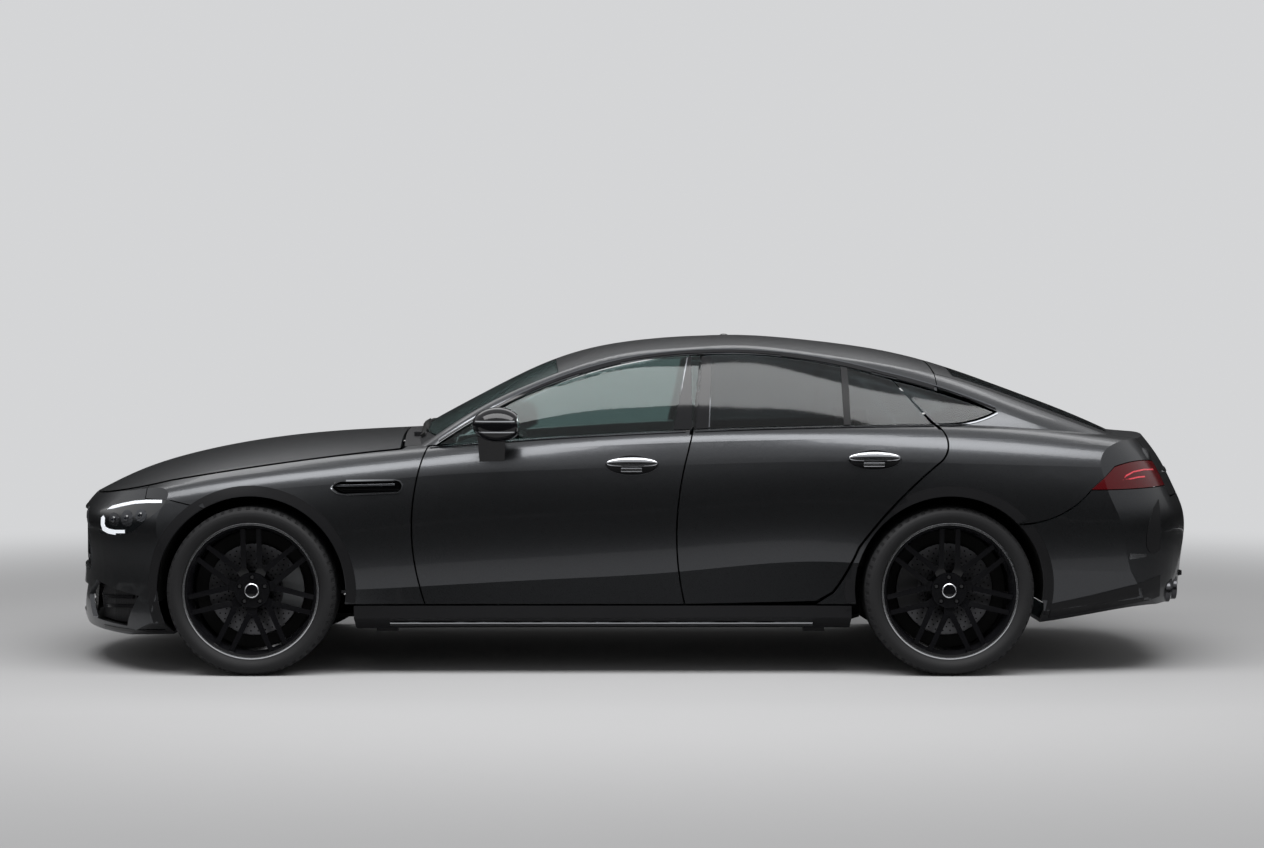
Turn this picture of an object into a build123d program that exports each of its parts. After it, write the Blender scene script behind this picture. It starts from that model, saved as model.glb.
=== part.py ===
"""Four-door fastback coupe: body panels, glass, cabin, running gear and wheels.

Frame: millimetres, origin on the floor under the middle of the car, nose toward -X,
the car's left side toward -Y, +Z up. Left pieces are built and the right ones mirrored.
"""
from build123d import *
import math
import os

os.makedirs("parts", exist_ok=True)

# ---- driving dimensions -------------------------------------------------------------
FRONT_AXLE_X = -1609.0
WHEELBASE = 2951.0
REAR_AXLE_X = FRONT_AXLE_X + WHEELBASE
WHEEL_Z = 358.0
TYRE_RADIUS = 358.0
FRONT_TRACK = 1664.0
REAR_TRACK = 1640.0
FRONT_TYRE_WIDTH = 270.0
REAR_TYRE_WIDTH = 300.0
RIM_RADIUS = 289.0
BEAD_RADIUS = 272.0
ARCH_RADIUS = 398.0
ARCH_RISE = 4.0

SKIN = 12.0
DOOR_THICK = 80.0
DOOR_INNER = 800.0
REBATE = 9.0
REBATE_Y = 872.0
FRAME_THICK = 42.0
GLASS = 6.0
GAP = 7.0
SEAM = 4.0
FAR = 3000.0

BONNET_THICK = 24.0
GATE_THICK = 30.0
BUMPER_THICK = 16.0
LAMP_DEPTH = 70.0
ARCH_INNER = 424.0
POCKET_DEPTH = 14.0
HANDLE_SIZE = (226.0, 84.0)
FRONT_HANDLE = (0.0, 888.0)
REAR_HANDLE = (1022.0, 912.0)
MIRROR_CENTRE = (-566.0, -958.0, 1062.0)
MIRROR_RADII = (106.0, 84.0, 74.0)
GRILLE_SLATS = 7
GRILLE_PITCH = 60.0

ROOF_HALF = 556.0
ROOF_END = 1320.0
GATE_LOW = 745.0
SILL_TOP = 293.0
FLOOR_LOW = 190.0
FLOOR_TOP = 205.0
BOOT_Z = 620.0
STEP_X = 1015.0
EXHAUST_Z = 330.0
JACK_X = (-1050.0, 780.0)
JACK_Y = 760.0
JACK_Z = 172.0

HUB_RADIUS = 74.0
CAP_RADIUS = 33.0
RIM_SETBACK = 24.0
BOLT_COUNT = 5
BOLT_CIRCLE = 112.0
SPOKE_COUNT = 7
SPOKE_SPREAD = 18.5
# a spoke bar: (radius, width, set-back) at its inner and outer ends, and its depth
LEG = ((56, 46, 40), (118, 40, 30), 34)
ARM = ((100, 24, 27), (266, 20, 6), 28)
DISC_RADIUS = 195.0
DISC_THICK = 32.0
DISC_Y = -18.0
KINGPIN_Y = 803.0
STEERING_WHEEL = (-420.0, -370.0, 835.0)

# ---- body sections: half widths y and heights z at each station x ----------------------
# columns: x, zb, yb (floor), yl, zl (sill edge), yv, zv (side crease), ym, zm (flank),
#          ys, zs (shoulder), yk, zk (belt edge), zc (crown)
LOWER_SECTIONS = (
    (-2560, 166, 780, 860, 222, 885, 330, 900, 480, 880, 600, 540, 642, 690),
    (-2400, 162, 790, 880, 220, 900, 335, 912, 480, 892, 640, 590, 702, 766),
    (-2250, 159, 800, 895, 218, 912, 340, 925, 480, 902, 680, 645, 752, 838),
    (-2050, 159, 800, 905, 218, 925, 345, 940, 490, 915, 715, 725, 808, 903),
    (-1850, 164, 810, 910, 222, 935, 350, 955, 510, 930, 745, 772, 852, 948),
    (-1609, 172, 820, 912, 230, 942, 355, 968, 540, 945, 780, 795, 888, 986),
    (-1200, 186, 820, 912, 238, 922, 362, 952, 570, 938, 815, 803, 932, 1020),
    (-860, 190, 820, 914, 242, 905, 377, 938, 600, 928, 845, 806, 962, 1036),
    (-400, 191, 820, 915, 243, 896, 402, 932, 620, 925, 868, 815, 1003, 1066),
    (200, 191, 820, 915, 243, 890, 436, 930, 650, 922, 890, 826, 1036, 1092),
    (800, 191, 820, 915, 244, 898, 480, 938, 690, 933, 905, 825, 1050, 1104),
    (1342, 193, 830, 915, 248, 946, 450, 976, 660, 966, 900, 806, 1058, 1106),
    (1700, 208, 820, 905, 266, 948, 450, 972, 650, 955, 890, 780, 1040, 1088),
    (2000, 252, 790, 870, 300, 915, 440, 940, 630, 920, 880, 740, 1008, 1046),
    (2250, 285, 760, 840, 330, 880, 440, 905, 620, 885, 868, 700, 978, 1012),
    (2560, 300, 720, 800, 350, 840, 440, 860, 620, 840, 850, 640, 950, 996),
)

# columns as above, for the glasshouse: floor, belt, (belt again), side glass, cantrail,
# roof edge and roof crown
UPPER_SECTIONS = (
    (-1100, 780, 700, 735, 820, 738, 835, 738, 850, 730, 865, 650, 905, 955),
    (-960, 790, 745, 775, 850, 778, 872, 778, 890, 772, 905, 700, 945, 1036),
    (-816, 800, 790, 826, 870, 826, 905, 818, 945, 803, 985, 738, 1030, 1117),
    (-562, 820, 790, 834, 900, 830, 950, 795, 1045, 745, 1136, 688, 1178, 1250),
    (-355, 830, 785, 832, 920, 826, 975, 775, 1115, 695, 1227, 640, 1266, 1343),
    (-147, 840, 780, 830, 940, 822, 1000, 758, 1165, 658, 1299, 598, 1337, 1403),
    (63, 850, 780, 828, 960, 820, 1020, 748, 1195, 637, 1341, 574, 1377, 1434),
    (330, 850, 780, 828, 970, 818, 1035, 742, 1210, 625, 1360, 562, 1396, 1451),
    (600, 850, 780, 828, 975, 816, 1040, 738, 1210, 622, 1357, 558, 1392, 1449),
    (893, 850, 780, 828, 980, 814, 1045, 734, 1195, 632, 1306, 560, 1352, 1421),
    (1285, 850, 770, 820, 985, 806, 1050, 738, 1150, 668, 1221, 566, 1282, 1352),
    (1573, 840, 750, 795, 980, 785, 1040, 760, 1085, 735, 1117, 572, 1200, 1260),
    (1870, 820, 720, 760, 940, 756, 975, 745, 1000, 730, 1018, 580, 1090, 1150),
    (2080, 800, 690, 720, 900, 718, 925, 712, 945, 700, 962, 570, 1015, 1063),
    (2290, 760, 420, 450, 820, 450, 850, 446, 880, 440, 905, 380, 955, 988),
)

# columns: z, nose x, tail x
PLAN_HEIGHTS = (
    (90, -2462, 2380),
    (173, -2498, 2430),
    (300, -2512, 2488),
    (480, -2508, 2508),
    (600, -2520, 2520),
    (680, -2500, 2508),
    (760, -2432, 2474),
    (850, -2350, 2430),
    (940, -2270, 2374),
    (1010, -2210, 2318),
    (1120, -2120, 2230),
)


def mirrored(shape):
    """The same shape on the other side of the car."""
    return shape.mirror(Plane.XZ)


def circle_tangent(start, middle, end, at_end=True):
    """Unit tangent, in the sense start to end, of the circle through three (y, z) points."""
    (ax, ay), (bx, by), (cx, cy) = start, middle, end
    d = 2 * (ax * (by - cy) + bx * (cy - ay) + cx * (ay - by))
    ux = ((ax**2 + ay**2) * (by - cy) + (bx**2 + by**2) * (cy - ay) + (cx**2 + cy**2) * (ay - by)) / d
    uy = ((ax**2 + ay**2) * (cx - bx) + (bx**2 + by**2) * (ax - cx) + (cx**2 + cy**2) * (bx - ax)) / d
    px, py = end if at_end else start
    radius = math.hypot(px - ux, py - uy)
    tangent = (-(py - uy) / radius, (px - ux) / radius)
    if tangent[0] * (cx - ax) + tangent[1] * (cy - ay) < 0:
        tangent = (-tangent[0], -tangent[1])
    return tangent


def biarc_joint(p0, t0, p1, t1):
    """The point where two arcs, tangent to t0 at p0 and to t1 at p1, meet smoothly."""
    v = (p1[0] - p0[0], p1[1] - p0[1])
    along = v[0] * (t0[0] + t1[0]) + v[1] * (t0[1] + t1[1])
    spread = 1 - (t0[0] * t1[0] + t0[1] * t1[1])
    square = v[0] ** 2 + v[1] ** 2
    d = (-along + math.sqrt(along**2 + 2 * spread * square)) / (2 * spread)
    return tuple((p0[i] + d * t0[i] + p1[i] - d * t1[i]) / 2 for i in (0, 1))


def section_wire(row):
    """Closed cross-section of lines and arcs at one station of a section table."""
    x, zb, yb, yl, zl, yv, zv, ym, zm, ys, zs, yk, zk, zc = row
    crease, flank, shoulder, belt = (yv, zv), (ym, zm), (ys, zs), (yk, zk)
    up = circle_tangent(crease, flank, shoulder)
    over = circle_tangent(belt, (0, zc), (-yk, zk), at_end=False)
    joint = biarc_joint(shoulder, up, belt, over)

    def place(point, side):
        return Vector(x, side * point[0], point[1])

    def half(side):
        low = Edge.make_line(place((yb, zb), side), place((yl, zl), side))
        rocker = Edge.make_line(place((yl, zl), side), place(crease, side))
        wall = Edge.make_three_point_arc(place(crease, side), place(flank, side), place(shoulder, side))
        turn = Edge.make_tangent_arc(place(shoulder, side), Vector(0, side * up[0], up[1]), place(joint, side))
        cap = Edge.make_tangent_arc(place(belt, side), Vector(0, -side * over[0], -over[1]), place(joint, side))
        return [low, rocker, wall, turn, cap]

    floor = Edge.make_line(place((yb, zb), -1), place((yb, zb), 1))
    crown = Edge.make_three_point_arc(place(belt, 1), Vector(x, 0, zc), place(belt, -1))
    return Wire([floor] + half(1) + [crown] + half(-1)[::-1])


def inset(row, depth):
    """The section moved inward by depth all round."""
    x, zb, yb, yl, zl, yv, zv, ym, zm, ys, zs, yk, zk, zc = row
    return (x, zb + depth, yb - depth, yl - depth, zl + 0.3 * depth, yv - depth, zv, ym - depth, zm,
            ys - 0.95 * depth, zs - 0.3 * depth, yk - 0.55 * depth, zk - 0.85 * depth, zc - depth)


def body_loft(sections, depth=0.0):
    """Solid through all the sections of a table, inset by depth."""
    return Solid.make_loft([section_wire(inset(row, depth)) for row in sections], ruled=False)


NOSE_CORNER = (205, 640)
NOSE_SIDE = (560, 968)
TAIL_CORNER = (150, 640)
TAIL_SIDE = (640, 985)
PLAN_WIDE = 1060.0


def plan_wire(z, nose_x, tail_x, depth):
    """Closed plan outline at one height: a curved nose and tail, and straight wide sides."""
    nose = nose_x + depth
    tail = tail_x - depth
    pinch = 0.8 * depth

    def corner(x, set_back, y, sign):
        return x + sign * set_back, y - pinch

    edges = []
    loops = ((nose, NOSE_CORNER, NOSE_SIDE, 1), (tail, TAIL_CORNER, TAIL_SIDE, -1))
    ends = []
    for x, (set_back, y_corner), (set_side, y_side), sign in loops:
        cx, cy = corner(x, set_back, y_corner, sign)
        sx, sy = corner(x, set_side, y_side, sign)
        run = circle_tangent((cx, -cy), (x, 0), (cx, cy))
        edges.append(Edge.make_three_point_arc(Vector(cx, -cy, z), Vector(x, 0, z), Vector(cx, cy, z)))
        for side in (-1, 1):
            start = Vector(cx, side * cy, z)
            edges.append(Edge.make_tangent_arc(start, Vector(run[0], side * run[1], 0), Vector(sx, side * sy, z)))
        ends.append((sx, sy))
    (fx, fy), (rx, ry) = ends
    for side in (-1, 1):
        points = [(fx, fy), (fx + 90, PLAN_WIDE), (rx - 90, PLAN_WIDE), (rx, ry)]
        for (x0, y0), (x1, y1) in zip(points, points[1:]):
            edges.append(Edge.make_line(Vector(x0, side * y0, z), Vector(x1, side * y1, z)))
    return Wire.combine(edges)[0]


def plan_loft(depth=0.0):
    """Solid that rounds off the nose and the tail in plan."""
    return Solid.make_loft([plan_wire(z, nose, tail, depth) for z, nose, tail in PLAN_HEIGHTS], ruled=False)


# ---- prisms cut from side-view and plan outlines ---------------------------------------
def outline_face(points, place):
    """Face inside an outline: each item is a point, or (through, end) for an arc."""
    edges = []
    here = points[0]
    for step in (*points[1:], points[0]):
        through, end = step if isinstance(step[0], tuple) else (None, step)
        if end == here:
            continue
        if through:
            edges.append(Edge.make_three_point_arc(place(here), place(through), place(end)))
        else:
            edges.append(Edge.make_line(place(here), place(end)))
        here = end
    return Face(Wire(edges))


def side_prism(points, y_from=-FAR, y_to=0.0):
    """Prism along Y whose (x, z) outline is seen from the car's side."""
    face = outline_face(points, lambda p: Vector(p[0], y_from, p[1]))
    return Solid.extrude(face, Vector(0, y_to - y_from, 0))


def plan_prism(points, z_from, z_to):
    """Prism along Z whose (x, y) outline is seen from above."""
    face = outline_face(points, lambda p: Vector(p[0], p[1], z_from))
    return Solid.extrude(face, Vector(0, 0, z_to - z_from))


def front_prism(points, x_from, x_to):
    """Prism along X whose (y, z) outline is seen from the front."""
    face = outline_face(points, lambda p: Vector(x_from, p[0], p[1]))
    return Solid.extrude(face, Vector(x_to - x_from, 0, 0))


def block(x0, x1, y0, y1, z0, z1):
    """Box between two corners."""
    return Solid.make_box(x1 - x0, y1 - y0, z1 - z0, Plane((x0, y0, z0)))


def drum(x, z, radius, y0, y1):
    """Cylinder along Y between y0 and y1."""
    return Solid.make_cylinder(radius, y1 - y0, Plane((x, y0, z), z_dir=(0, 1, 0)))


def moved(step, dx=0.0, dz=0.0):
    """One outline step moved by dx and dz."""
    if isinstance(step[0], tuple):
        return tuple(moved(point, dx, dz) for point in step)
    return step[0] + dx, step[1] + dz


def biggest(shape):
    """The largest solid of a cut, without its crumbs."""
    return max(shape.solids(), key=lambda solid: solid.volume)


def write(name, *solids):
    """Save one node."""
    shape = solids[0] if len(solids) == 1 else Compound(list(solids))
    export_step(shape, f"parts/{name}.step")


def write_pair(name, *solids):
    """Save a left node and its mirror image."""
    write(f"{name}_left", *solids)
    write(f"{name}_right", *[mirrored(solid) for solid in solids])


def lower_body(depth=0.0):
    """Body below the glass, inset by depth and rounded in plan."""
    return body_loft(LOWER_SECTIONS, depth) & plan_loft(depth)


# ---- outer shape and the walls cut from it -------------------------------------------------
LOWER = lower_body()
UPPER = body_loft(UPPER_SECTIONS)


def lower_shell(prism, depth):
    """The wall of the lower body inside a prism."""
    return (LOWER & prism) - (lower_body(depth) & prism)


def side_shell(prism, depth):
    """The wall of the body side inside a prism, away from the nose and the tail."""
    return (LOWER & prism) - (body_loft(LOWER_SECTIONS, depth) & prism)


def upper_shell(prism, depth):
    """The wall of the glasshouse inside a prism."""
    return (UPPER & prism) - (body_loft(UPPER_SECTIONS, depth) & prism)


def joined_shell(prism, depth):
    """The wall of the lower body and the glasshouse together inside a prism."""
    whole = (LOWER & prism) + (UPPER & prism)
    return whole - (lower_body(depth) & prism) - (body_loft(UPPER_SECTIONS, depth) & prism)


# ---- shut lines in side view, (x, z) -------------------------------------------------------
BONNET_LINE = [(-2430, 744), ((-2200, 776), (-1979, 822)), ((-1560, 889), (-1094, 947)),
               ((-1040, 952), (-985, 958))]
FENDER_END = (-2075, 800)
BELT_FRONT = (-868, 966)
BELT_MIDDLE = (264, 1036)
BELT_REAR = (1290, 1060)
DLO_TIP = (1573, 1112)
DLO_TOP = [(-834, 974), ((-400, 1209), (63, 1340)), ((320, 1361), (600, 1356)), ((1090, 1266), DLO_TIP)]
FRONT_SHUT = ((-927, 640), (-874, 301))
CENTRE_SHUT = [(226, 301), ((193, 560), (236, 925)), BELT_MIDDLE]
CENTRE_TOP = (303, 1353)
REAR_SHUT = [((1330, 985), (1288, 901)), ((1116, 741), (955, 544)), ((900, 430), (846, 352)), (776, 314)]
REAR_SHUT_OUT = [(783, 301), (854, 345), ((909, 424), (964, 538)), ((1124, 735), (1296, 897)),
                 ((1338, 985), (1297, 1063))]
DOOR_LOW = 301
PILLAR_BASE = -862
LAMP_TIP = (-1945, 742)
BUMPER_SEAM = (-1790, 706)
SIDE_VENT = [(-1262, 796), ((-1245, 814), (-1205, 820)), (-1005, 823), ((-974, 808), (-990, 778)), (-1200, 770),
             ((-1240, 777), (-1262, 796))]


def arch_cut(axle_x, side):
    """The wheel arch opening on one side."""
    y0, y1 = sorted((side * ARCH_INNER, side * FAR))
    return drum(axle_x, WHEEL_Z + ARCH_RISE, ARCH_RADIUS, y0, y1)


# ---- front end -----------------------------------------------------------------------------
def front_fender():
    """Left front fender, from the lamp to the door, under the bonnet line."""
    outline = [(-2075, 745), moved(FENDER_END, 0, -GAP), moved((-1979, 822), 0, -GAP),
               *[moved(step, 0, -GAP) for step in BONNET_LINE[2:]], (PILLAR_BASE, 1030), moved(BELT_FRONT, -GAP),
               moved(FRONT_SHUT, -GAP), (-1609, DOOR_LOW), BUMPER_SEAM, LAMP_TIP]
    shape = lower_shell(side_prism(outline, -FAR, -430), SKIN) - arch_cut(FRONT_AXLE_X, -1)
    shape = shape - block(-1300, -985, -779, 0, 700, 1500) - block(-985, -700, -746, 0, 700, 1500)
    return biggest(shape - side_prism(SIDE_VENT, -FAR, -915))


def bonnet():
    """Bonnet panel above the bonnet line, ahead of the cowl."""
    above = side_prism([*BONNET_LINE, (-985, 1400), (-2700, 1400), (-2700, 744)], -FAR, FAR)
    ahead = plan_prism([(-985, -900), ((-1020, 0), (-985, 900)), (-2700, 900), (-2700, -900)], 600, 1300)
    return biggest(lower_shell(above & ahead, BONNET_THICK))


def cowl():
    """Scuttle panel between the bonnet and the windscreen."""
    strip = plan_prism([(-978, -742), ((-1013, 0), (-978, 742)), (PILLAR_BASE, 742), (PILLAR_BASE, -742)],
                       900, 1300)
    return biggest(lower_shell(strip, SKIN))


HEADLAMP = [(-2326, 676), ((-2190, 722), (-2094, 741)), (-1950, 742), ((-2040, 668), (-2134, 599)),
            (-2230, 580), (-2318, 580)]
GRILLE = [(-400, 672), (400, 672), (500, 600), (470, 420), (-470, 420), (-500, 600)]
LOWER_INTAKE = [(-430, 340), (430, 340), (380, 215), (-380, 215)]
SIDE_INTAKE = [(-860, 330), (-560, 372), (-480, 300), (-520, 205), (-800, 195)]


def headlamp():
    """Left headlamp block filling its opening in the bumper corner."""
    return biggest(lower_shell(side_prism(HEADLAMP, -FAR, -440), LAMP_DEPTH))


def front_bumper():
    """Front bumper with lamp, grille and intake openings."""
    outline = [moved(BONNET_LINE[0], 0, -GAP), moved(((-2200, 776), moved(FENDER_END, -SEAM)), 0, -GAP), (-2079, 741),
               moved(LAMP_TIP, -SEAM, -SEAM), moved(BUMPER_SEAM, -SEAM, -SEAM), (-1960, DOOR_LOW),
               (-1960, 100), (-2700, 100), (-2700, 737)]
    shape = lower_shell(side_prism(outline, -FAR, FAR), BUMPER_THICK)
    for side in (-1, 1):
        shape = shape - arch_cut(FRONT_AXLE_X, side)
    lamp = side_prism(HEADLAMP, -FAR, -440)
    intake = front_prism(SIDE_INTAKE, -2700, -2100)
    for opening in (lamp, mirrored(lamp), intake, mirrored(intake), front_prism(GRILLE, -2700, -2200),
                    front_prism(LOWER_INTAKE, -2700, -2200)):
        shape = shape - opening
    return biggest(shape)


def nose_band(set_back, thick):
    """Upright wall that follows the nose in plan, set back from it."""
    front = [(-2040, -900), (-2302, -640), ((-2512, 0), (-2302, 640)), (-2040, 900)]
    rear = [(-2040, 900), (-2302, 640), ((-2512, 0), (-2302, -640)), (-2040, -900)]
    outline = [moved(step, set_back) for step in front] + [moved(step, set_back + thick) for step in rear]
    return plan_prism(outline, 100, 700)


def grille():
    """Upright slats on a bent backing plate, and the plates behind the low intakes."""
    hole = front_prism(GRILLE, -2700, -2200)
    plate = nose_band(52, 8)
    slats = nose_band(20, 36) & hole
    main = plate & hole
    for i in range(-GRILLE_SLATS, GRILLE_SLATS + 1):
        y = i * GRILLE_PITCH
        main = main + (slats & block(-2700, -2200, y - 7, y + 7, 400, 700))
    side = plate & front_prism(SIDE_INTAKE, -2700, -2130)
    return main, plate & front_prism(LOWER_INTAKE, -2700, -2200), side, mirrored(side)


# ---- doors ---------------------------------------------------------------------------------
def handle_pocket(centre):
    """Shallow oval recess behind a door handle."""
    x, z = centre
    half, high = HANDLE_SIZE[0] / 2, HANDLE_SIZE[1] / 2
    bow, tip = 0.86 * half, 0.42 * high
    oval = [(x - bow, z - tip), ((x, z - high), (x + bow, z - tip)), ((x + half, z), (x + bow, z + tip)),
            ((x, z + high), (x - bow, z + tip)), ((x - half, z), (x - bow, z - tip))]
    return side_prism(oval, -FAR, -600) - body_loft(LOWER_SECTIONS, POCKET_DEPTH)


def door_and_glass(outline, window, handle):
    """Door as thick as the whole wall, and the pane above it."""
    door = biggest(side_shell(side_prism(outline, -FAR, -DOOR_INNER), DOOR_THICK))
    kept = side_prism([moved(step, -REBATE) for step in outline], -FAR, 0)
    door = door - (side_prism(outline, -REBATE_Y, -600) - kept)
    pane = biggest(upper_shell(side_prism(window, -FAR, -400), GLASS))
    return biggest(door - handle_pocket(handle)), pane


def front_door():
    """Left front door and its glass."""
    outline = [BELT_FRONT, FRONT_SHUT, *[moved(step, -GAP) for step in CENTRE_SHUT], ((-300, 1008), BELT_FRONT)]
    window = [(-800, 986), ((-400, 1201), (63, 1332)), ((180, 1350), moved(CENTRE_TOP, -GAP)),
              moved(BELT_MIDDLE, -GAP, 1), ((-300, 1010), (-824, 973))]
    return door_and_glass(outline, window, FRONT_HANDLE)


def rear_door():
    """Left rear door and its glass."""
    outline = [BELT_MIDDLE, ((600, 1048), (913, 1053)), BELT_REAR, *REAR_SHUT, *CENTRE_SHUT]
    window = [moved(BELT_MIDDLE, 0, 2), CENTRE_TOP, ((450, 1357), (600, 1349)), ((880, 1309), (1126, 1247)),
              (1280, 1061), (913, 1055), ((600, 1050), moved(BELT_MIDDLE, 0, 2))]
    return door_and_glass(outline, window, REAR_HANDLE)


def mirror():
    """Left door mirror: a rounded head, flat at the glass, on a foot from the shoulder."""
    x, y, z = MIRROR_CENTRE
    reach = 200.0
    head = Pos(x, y, z) * scale(Sphere(1.0), by=MIRROR_RADII)
    head = head & block(x - reach, x + 0.8 * MIRROR_RADII[0], y - reach, y + reach, z - reach, z + reach)
    slope = (0, -0.45, 1)
    top = Wire.make_rect(118, 70, Plane((x - 24, y + 15, z - 35), x_dir=(1, 0, 0), z_dir=slope))
    base = Wire.make_rect(104, 110, Plane((x - 26, y + 105, z - 150), x_dir=(1, 0, 0), z_dir=slope))
    foot = Solid.make_loft([base, top])
    return biggest((biggest(head) + foot) - LOWER - UPPER)


# ---- glasshouse ----------------------------------------------------------------------------
SCREEN = [(-842, -738), ((-948, 0), (-842, 738)), ((-600, 690), (-322, 622)), ((-352, 0), (-322, -622)),
          ((-600, -690), (-842, -738))]
SCREEN_FRAME = [(-847, -741), ((-953, 0), (-847, 741)), ((-602, 694), (-318, 626)), ((-348, 0), (-318, -626)),
                ((-602, -694), (-847, -741))]
GATE_SIDE = [(1327, 556), (1700, 586), (2000, 600), (2700, 600)]
BACKLIGHT_SIDE = [(1416, 500), (1700, 520), (2085, 528)]


def windshield():
    """Windscreen glass."""
    return biggest(upper_shell(plan_prism(SCREEN, 900, 1500), GLASS) - LOWER)


def roof():
    """Roof panel between the cantrails."""
    panel = block(-360, ROOF_END, -ROOF_HALF, ROOF_HALF, 1200, 1500)
    return biggest(upper_shell(panel, FRAME_THICK) - plan_prism(SCREEN_FRAME, 900, 1500))


def side_frame():
    """Left body side frame: windscreen pillar, cantrail, and the posts that carry the doors."""
    reach = side_prism([(-960, 880), (-960, 1500), (ROOF_END, 1500), (ROOF_END, 1150), (900, 880)],
                       -FAR, -ROOF_HALF)
    window = side_prism([*DLO_TOP, ((1460, 1066), BELT_REAR), (913, 1053), ((60, 1029), BELT_FRONT),
                         (-900, 946)], -FAR, -400)
    below = side_prism([(-1000, 400), (-1000, 934), (-868, 970), ((60, 1031), (913, 1053)), (1400, 1056),
                        (1400, 400)], -FAR, -400)
    ahead = LOWER & block(-1200, PILLAR_BASE, -900, -400, 700, 1300)
    frame = upper_shell(reach, FRAME_THICK) - plan_prism(SCREEN_FRAME, 900, 1500) - below - window - ahead
    post_line = side_prism([(212, 1046), (286, 1046), (320, 1375), (262, 1375)], -FAR, -ROOF_HALF)
    post = (body_loft(UPPER_SECTIONS, 24) & post_line) - body_loft(UPPER_SECTIONS, 70)
    centre_post = block(205, 290, -752, -700, SILL_TOP, 1090)
    upper = biggest(biggest(frame) + biggest(post) + centre_post)
    hinge_post = block(-985, -885, -765, -700, SILL_TOP, 945)
    return upper, hinge_post


def gate_prism(grow, z_from):
    """Everything above z_from between the side edges of the liftgate."""
    left = [(x, -y - grow) for x, y in GATE_SIDE]
    right = [(x, y + grow) for x, y in GATE_SIDE[::-1]]
    start = GATE_SIDE[0][0] - grow
    left[0] = (start, left[0][1])
    right[-1] = (start, right[-1][1])
    return plan_prism(left + right, z_from, 1600)


def backlight_prism(grow):
    """Opening of the rear screen in the liftgate."""
    left = [(x, -y - grow) for x, y in BACKLIGHT_SIDE]
    right = [(x, y + grow) for x, y in BACKLIGHT_SIDE[::-1]]
    left[0], right[-1] = moved(left[0], -grow), moved(right[-1], -grow)
    left[-1], right[0] = moved(left[-1], grow), moved(right[0], grow)
    return plan_prism(left + right, 900, 1600)


def liftgate():
    """Liftgate from the roof to the tail, open for its screen."""
    return biggest(joined_shell(gate_prism(0.0, GATE_LOW), GATE_THICK) - backlight_prism(SEAM))


def backlight():
    """Rear screen, flush in the liftgate."""
    return biggest(upper_shell(backlight_prism(0.0), GLASS))


def quarter():
    """Left rear quarter panel with its sail beside the rear screen."""
    outline = [(ROOF_END + SEAM, 1214), (ROOF_END + SEAM, 1500), (2700, 1500), (2700, 898), (2271, 898),
               ((2160, 903), (2046, 884)), (1939, 792), ((1790, 680), (1631, 647)), (1500, DOOR_LOW),
               *REAR_SHUT_OUT, ((1460, 1069), DLO_TIP), ((1455, 1164), (ROOF_END + SEAM, 1214))]
    panel = joined_shell(side_prism(outline, -FAR, -300), SKIN) - gate_prism(GAP, 500)
    return biggest(panel - arch_cut(REAR_AXLE_X, -1) - block(0, ROOF_END + 2, -FAR, 0, 1063, 1500))


def quarter_glass():
    """Left fixed glass behind the rear door."""
    pane = side_prism([(1135, 1243), ((1360, 1180), (1552, 1110)), ((1450, 1076), (1292, 1066))], -FAR, -400)
    return biggest(upper_shell(pane, GLASS))


# ---- rear end ------------------------------------------------------------------------------
TAIL_LAMP = [(1939, 788), (2046, 879), ((2160, 899), (2271, 894)), (2700, 894), (2700, 795), (2092, 788)]
DIFFUSER_HALF = 412
TIP_RADIUS = 48
# outlet centre y and rear end x
TIPS = ((525, 2392), (640, 2336))


def tail_lamp():
    """Left tail lamp block, wrapped round the corner."""
    return biggest(lower_shell(side_prism(TAIL_LAMP, -FAR, -607), LAMP_DEPTH))


def rear_bumper():
    """Rear bumper below the lamps and the liftgate, with its diffuser opening."""
    outline = [(1631, 639), ((1790, 672), (1939, 784)), (2092, 784), (2700, 790), (2700, 180),
               (1745, 180), (1745, 300), (1700, 400)]
    shape = lower_shell(side_prism(outline, -FAR, FAR), BUMPER_THICK) - gate_prism(GAP, GATE_LOW - GAP)
    for side in (-1, 1):
        shape = shape - arch_cut(REAR_AXLE_X, side)
    shape = shape - block(1850, 2600, -DIFFUSER_HALF - 1, DIFFUSER_HALF + 1, 150, 400)
    for y, _ in TIPS:
        for side in (-1, 1):
            shape = shape - drum_x(2150, 2600, side * y, EXHAUST_Z, TIP_RADIUS + 5)
    return biggest(shape)


def diffuser():
    """Floor of the tail between the exhausts, with upright fins."""
    half = DIFFUSER_HALF
    floor = side_prism([(1860, 243), (2452, 378), (2452, 398), (1860, 262)], -half, half)
    for y in (-240, -80, 80, 240):
        floor = floor + side_prism([(1960, 254), (2440, 300), (2440, 385), (1960, 275)], y - 6, y + 6)
    return floor


def exhaust_tips():
    """Four round outlets in two pairs, each pair on its silencer."""
    tips = []
    for side in (-1, 1):
        y0, y1 = sorted((side * 465, side * 700))
        silencer = block(2120, 2236, y0, y1, EXHAUST_Z - 24, EXHAUST_Z + 70)
        for y, end in TIPS:
            bore = drum_x(2200, end + 5, side * y, EXHAUST_Z, TIP_RADIUS - 5)
            silencer = silencer + (drum_x(2230, end, side * y, EXHAUST_Z, TIP_RADIUS) - bore)
        tips.append(silencer)
    return tips


def drum_x(x0, x1, y, z, radius):
    """Cylinder along X."""
    return Solid.make_cylinder(radius, x1 - x0, Plane((x0, y, z), z_dir=(1, 0, 0)))


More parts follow.
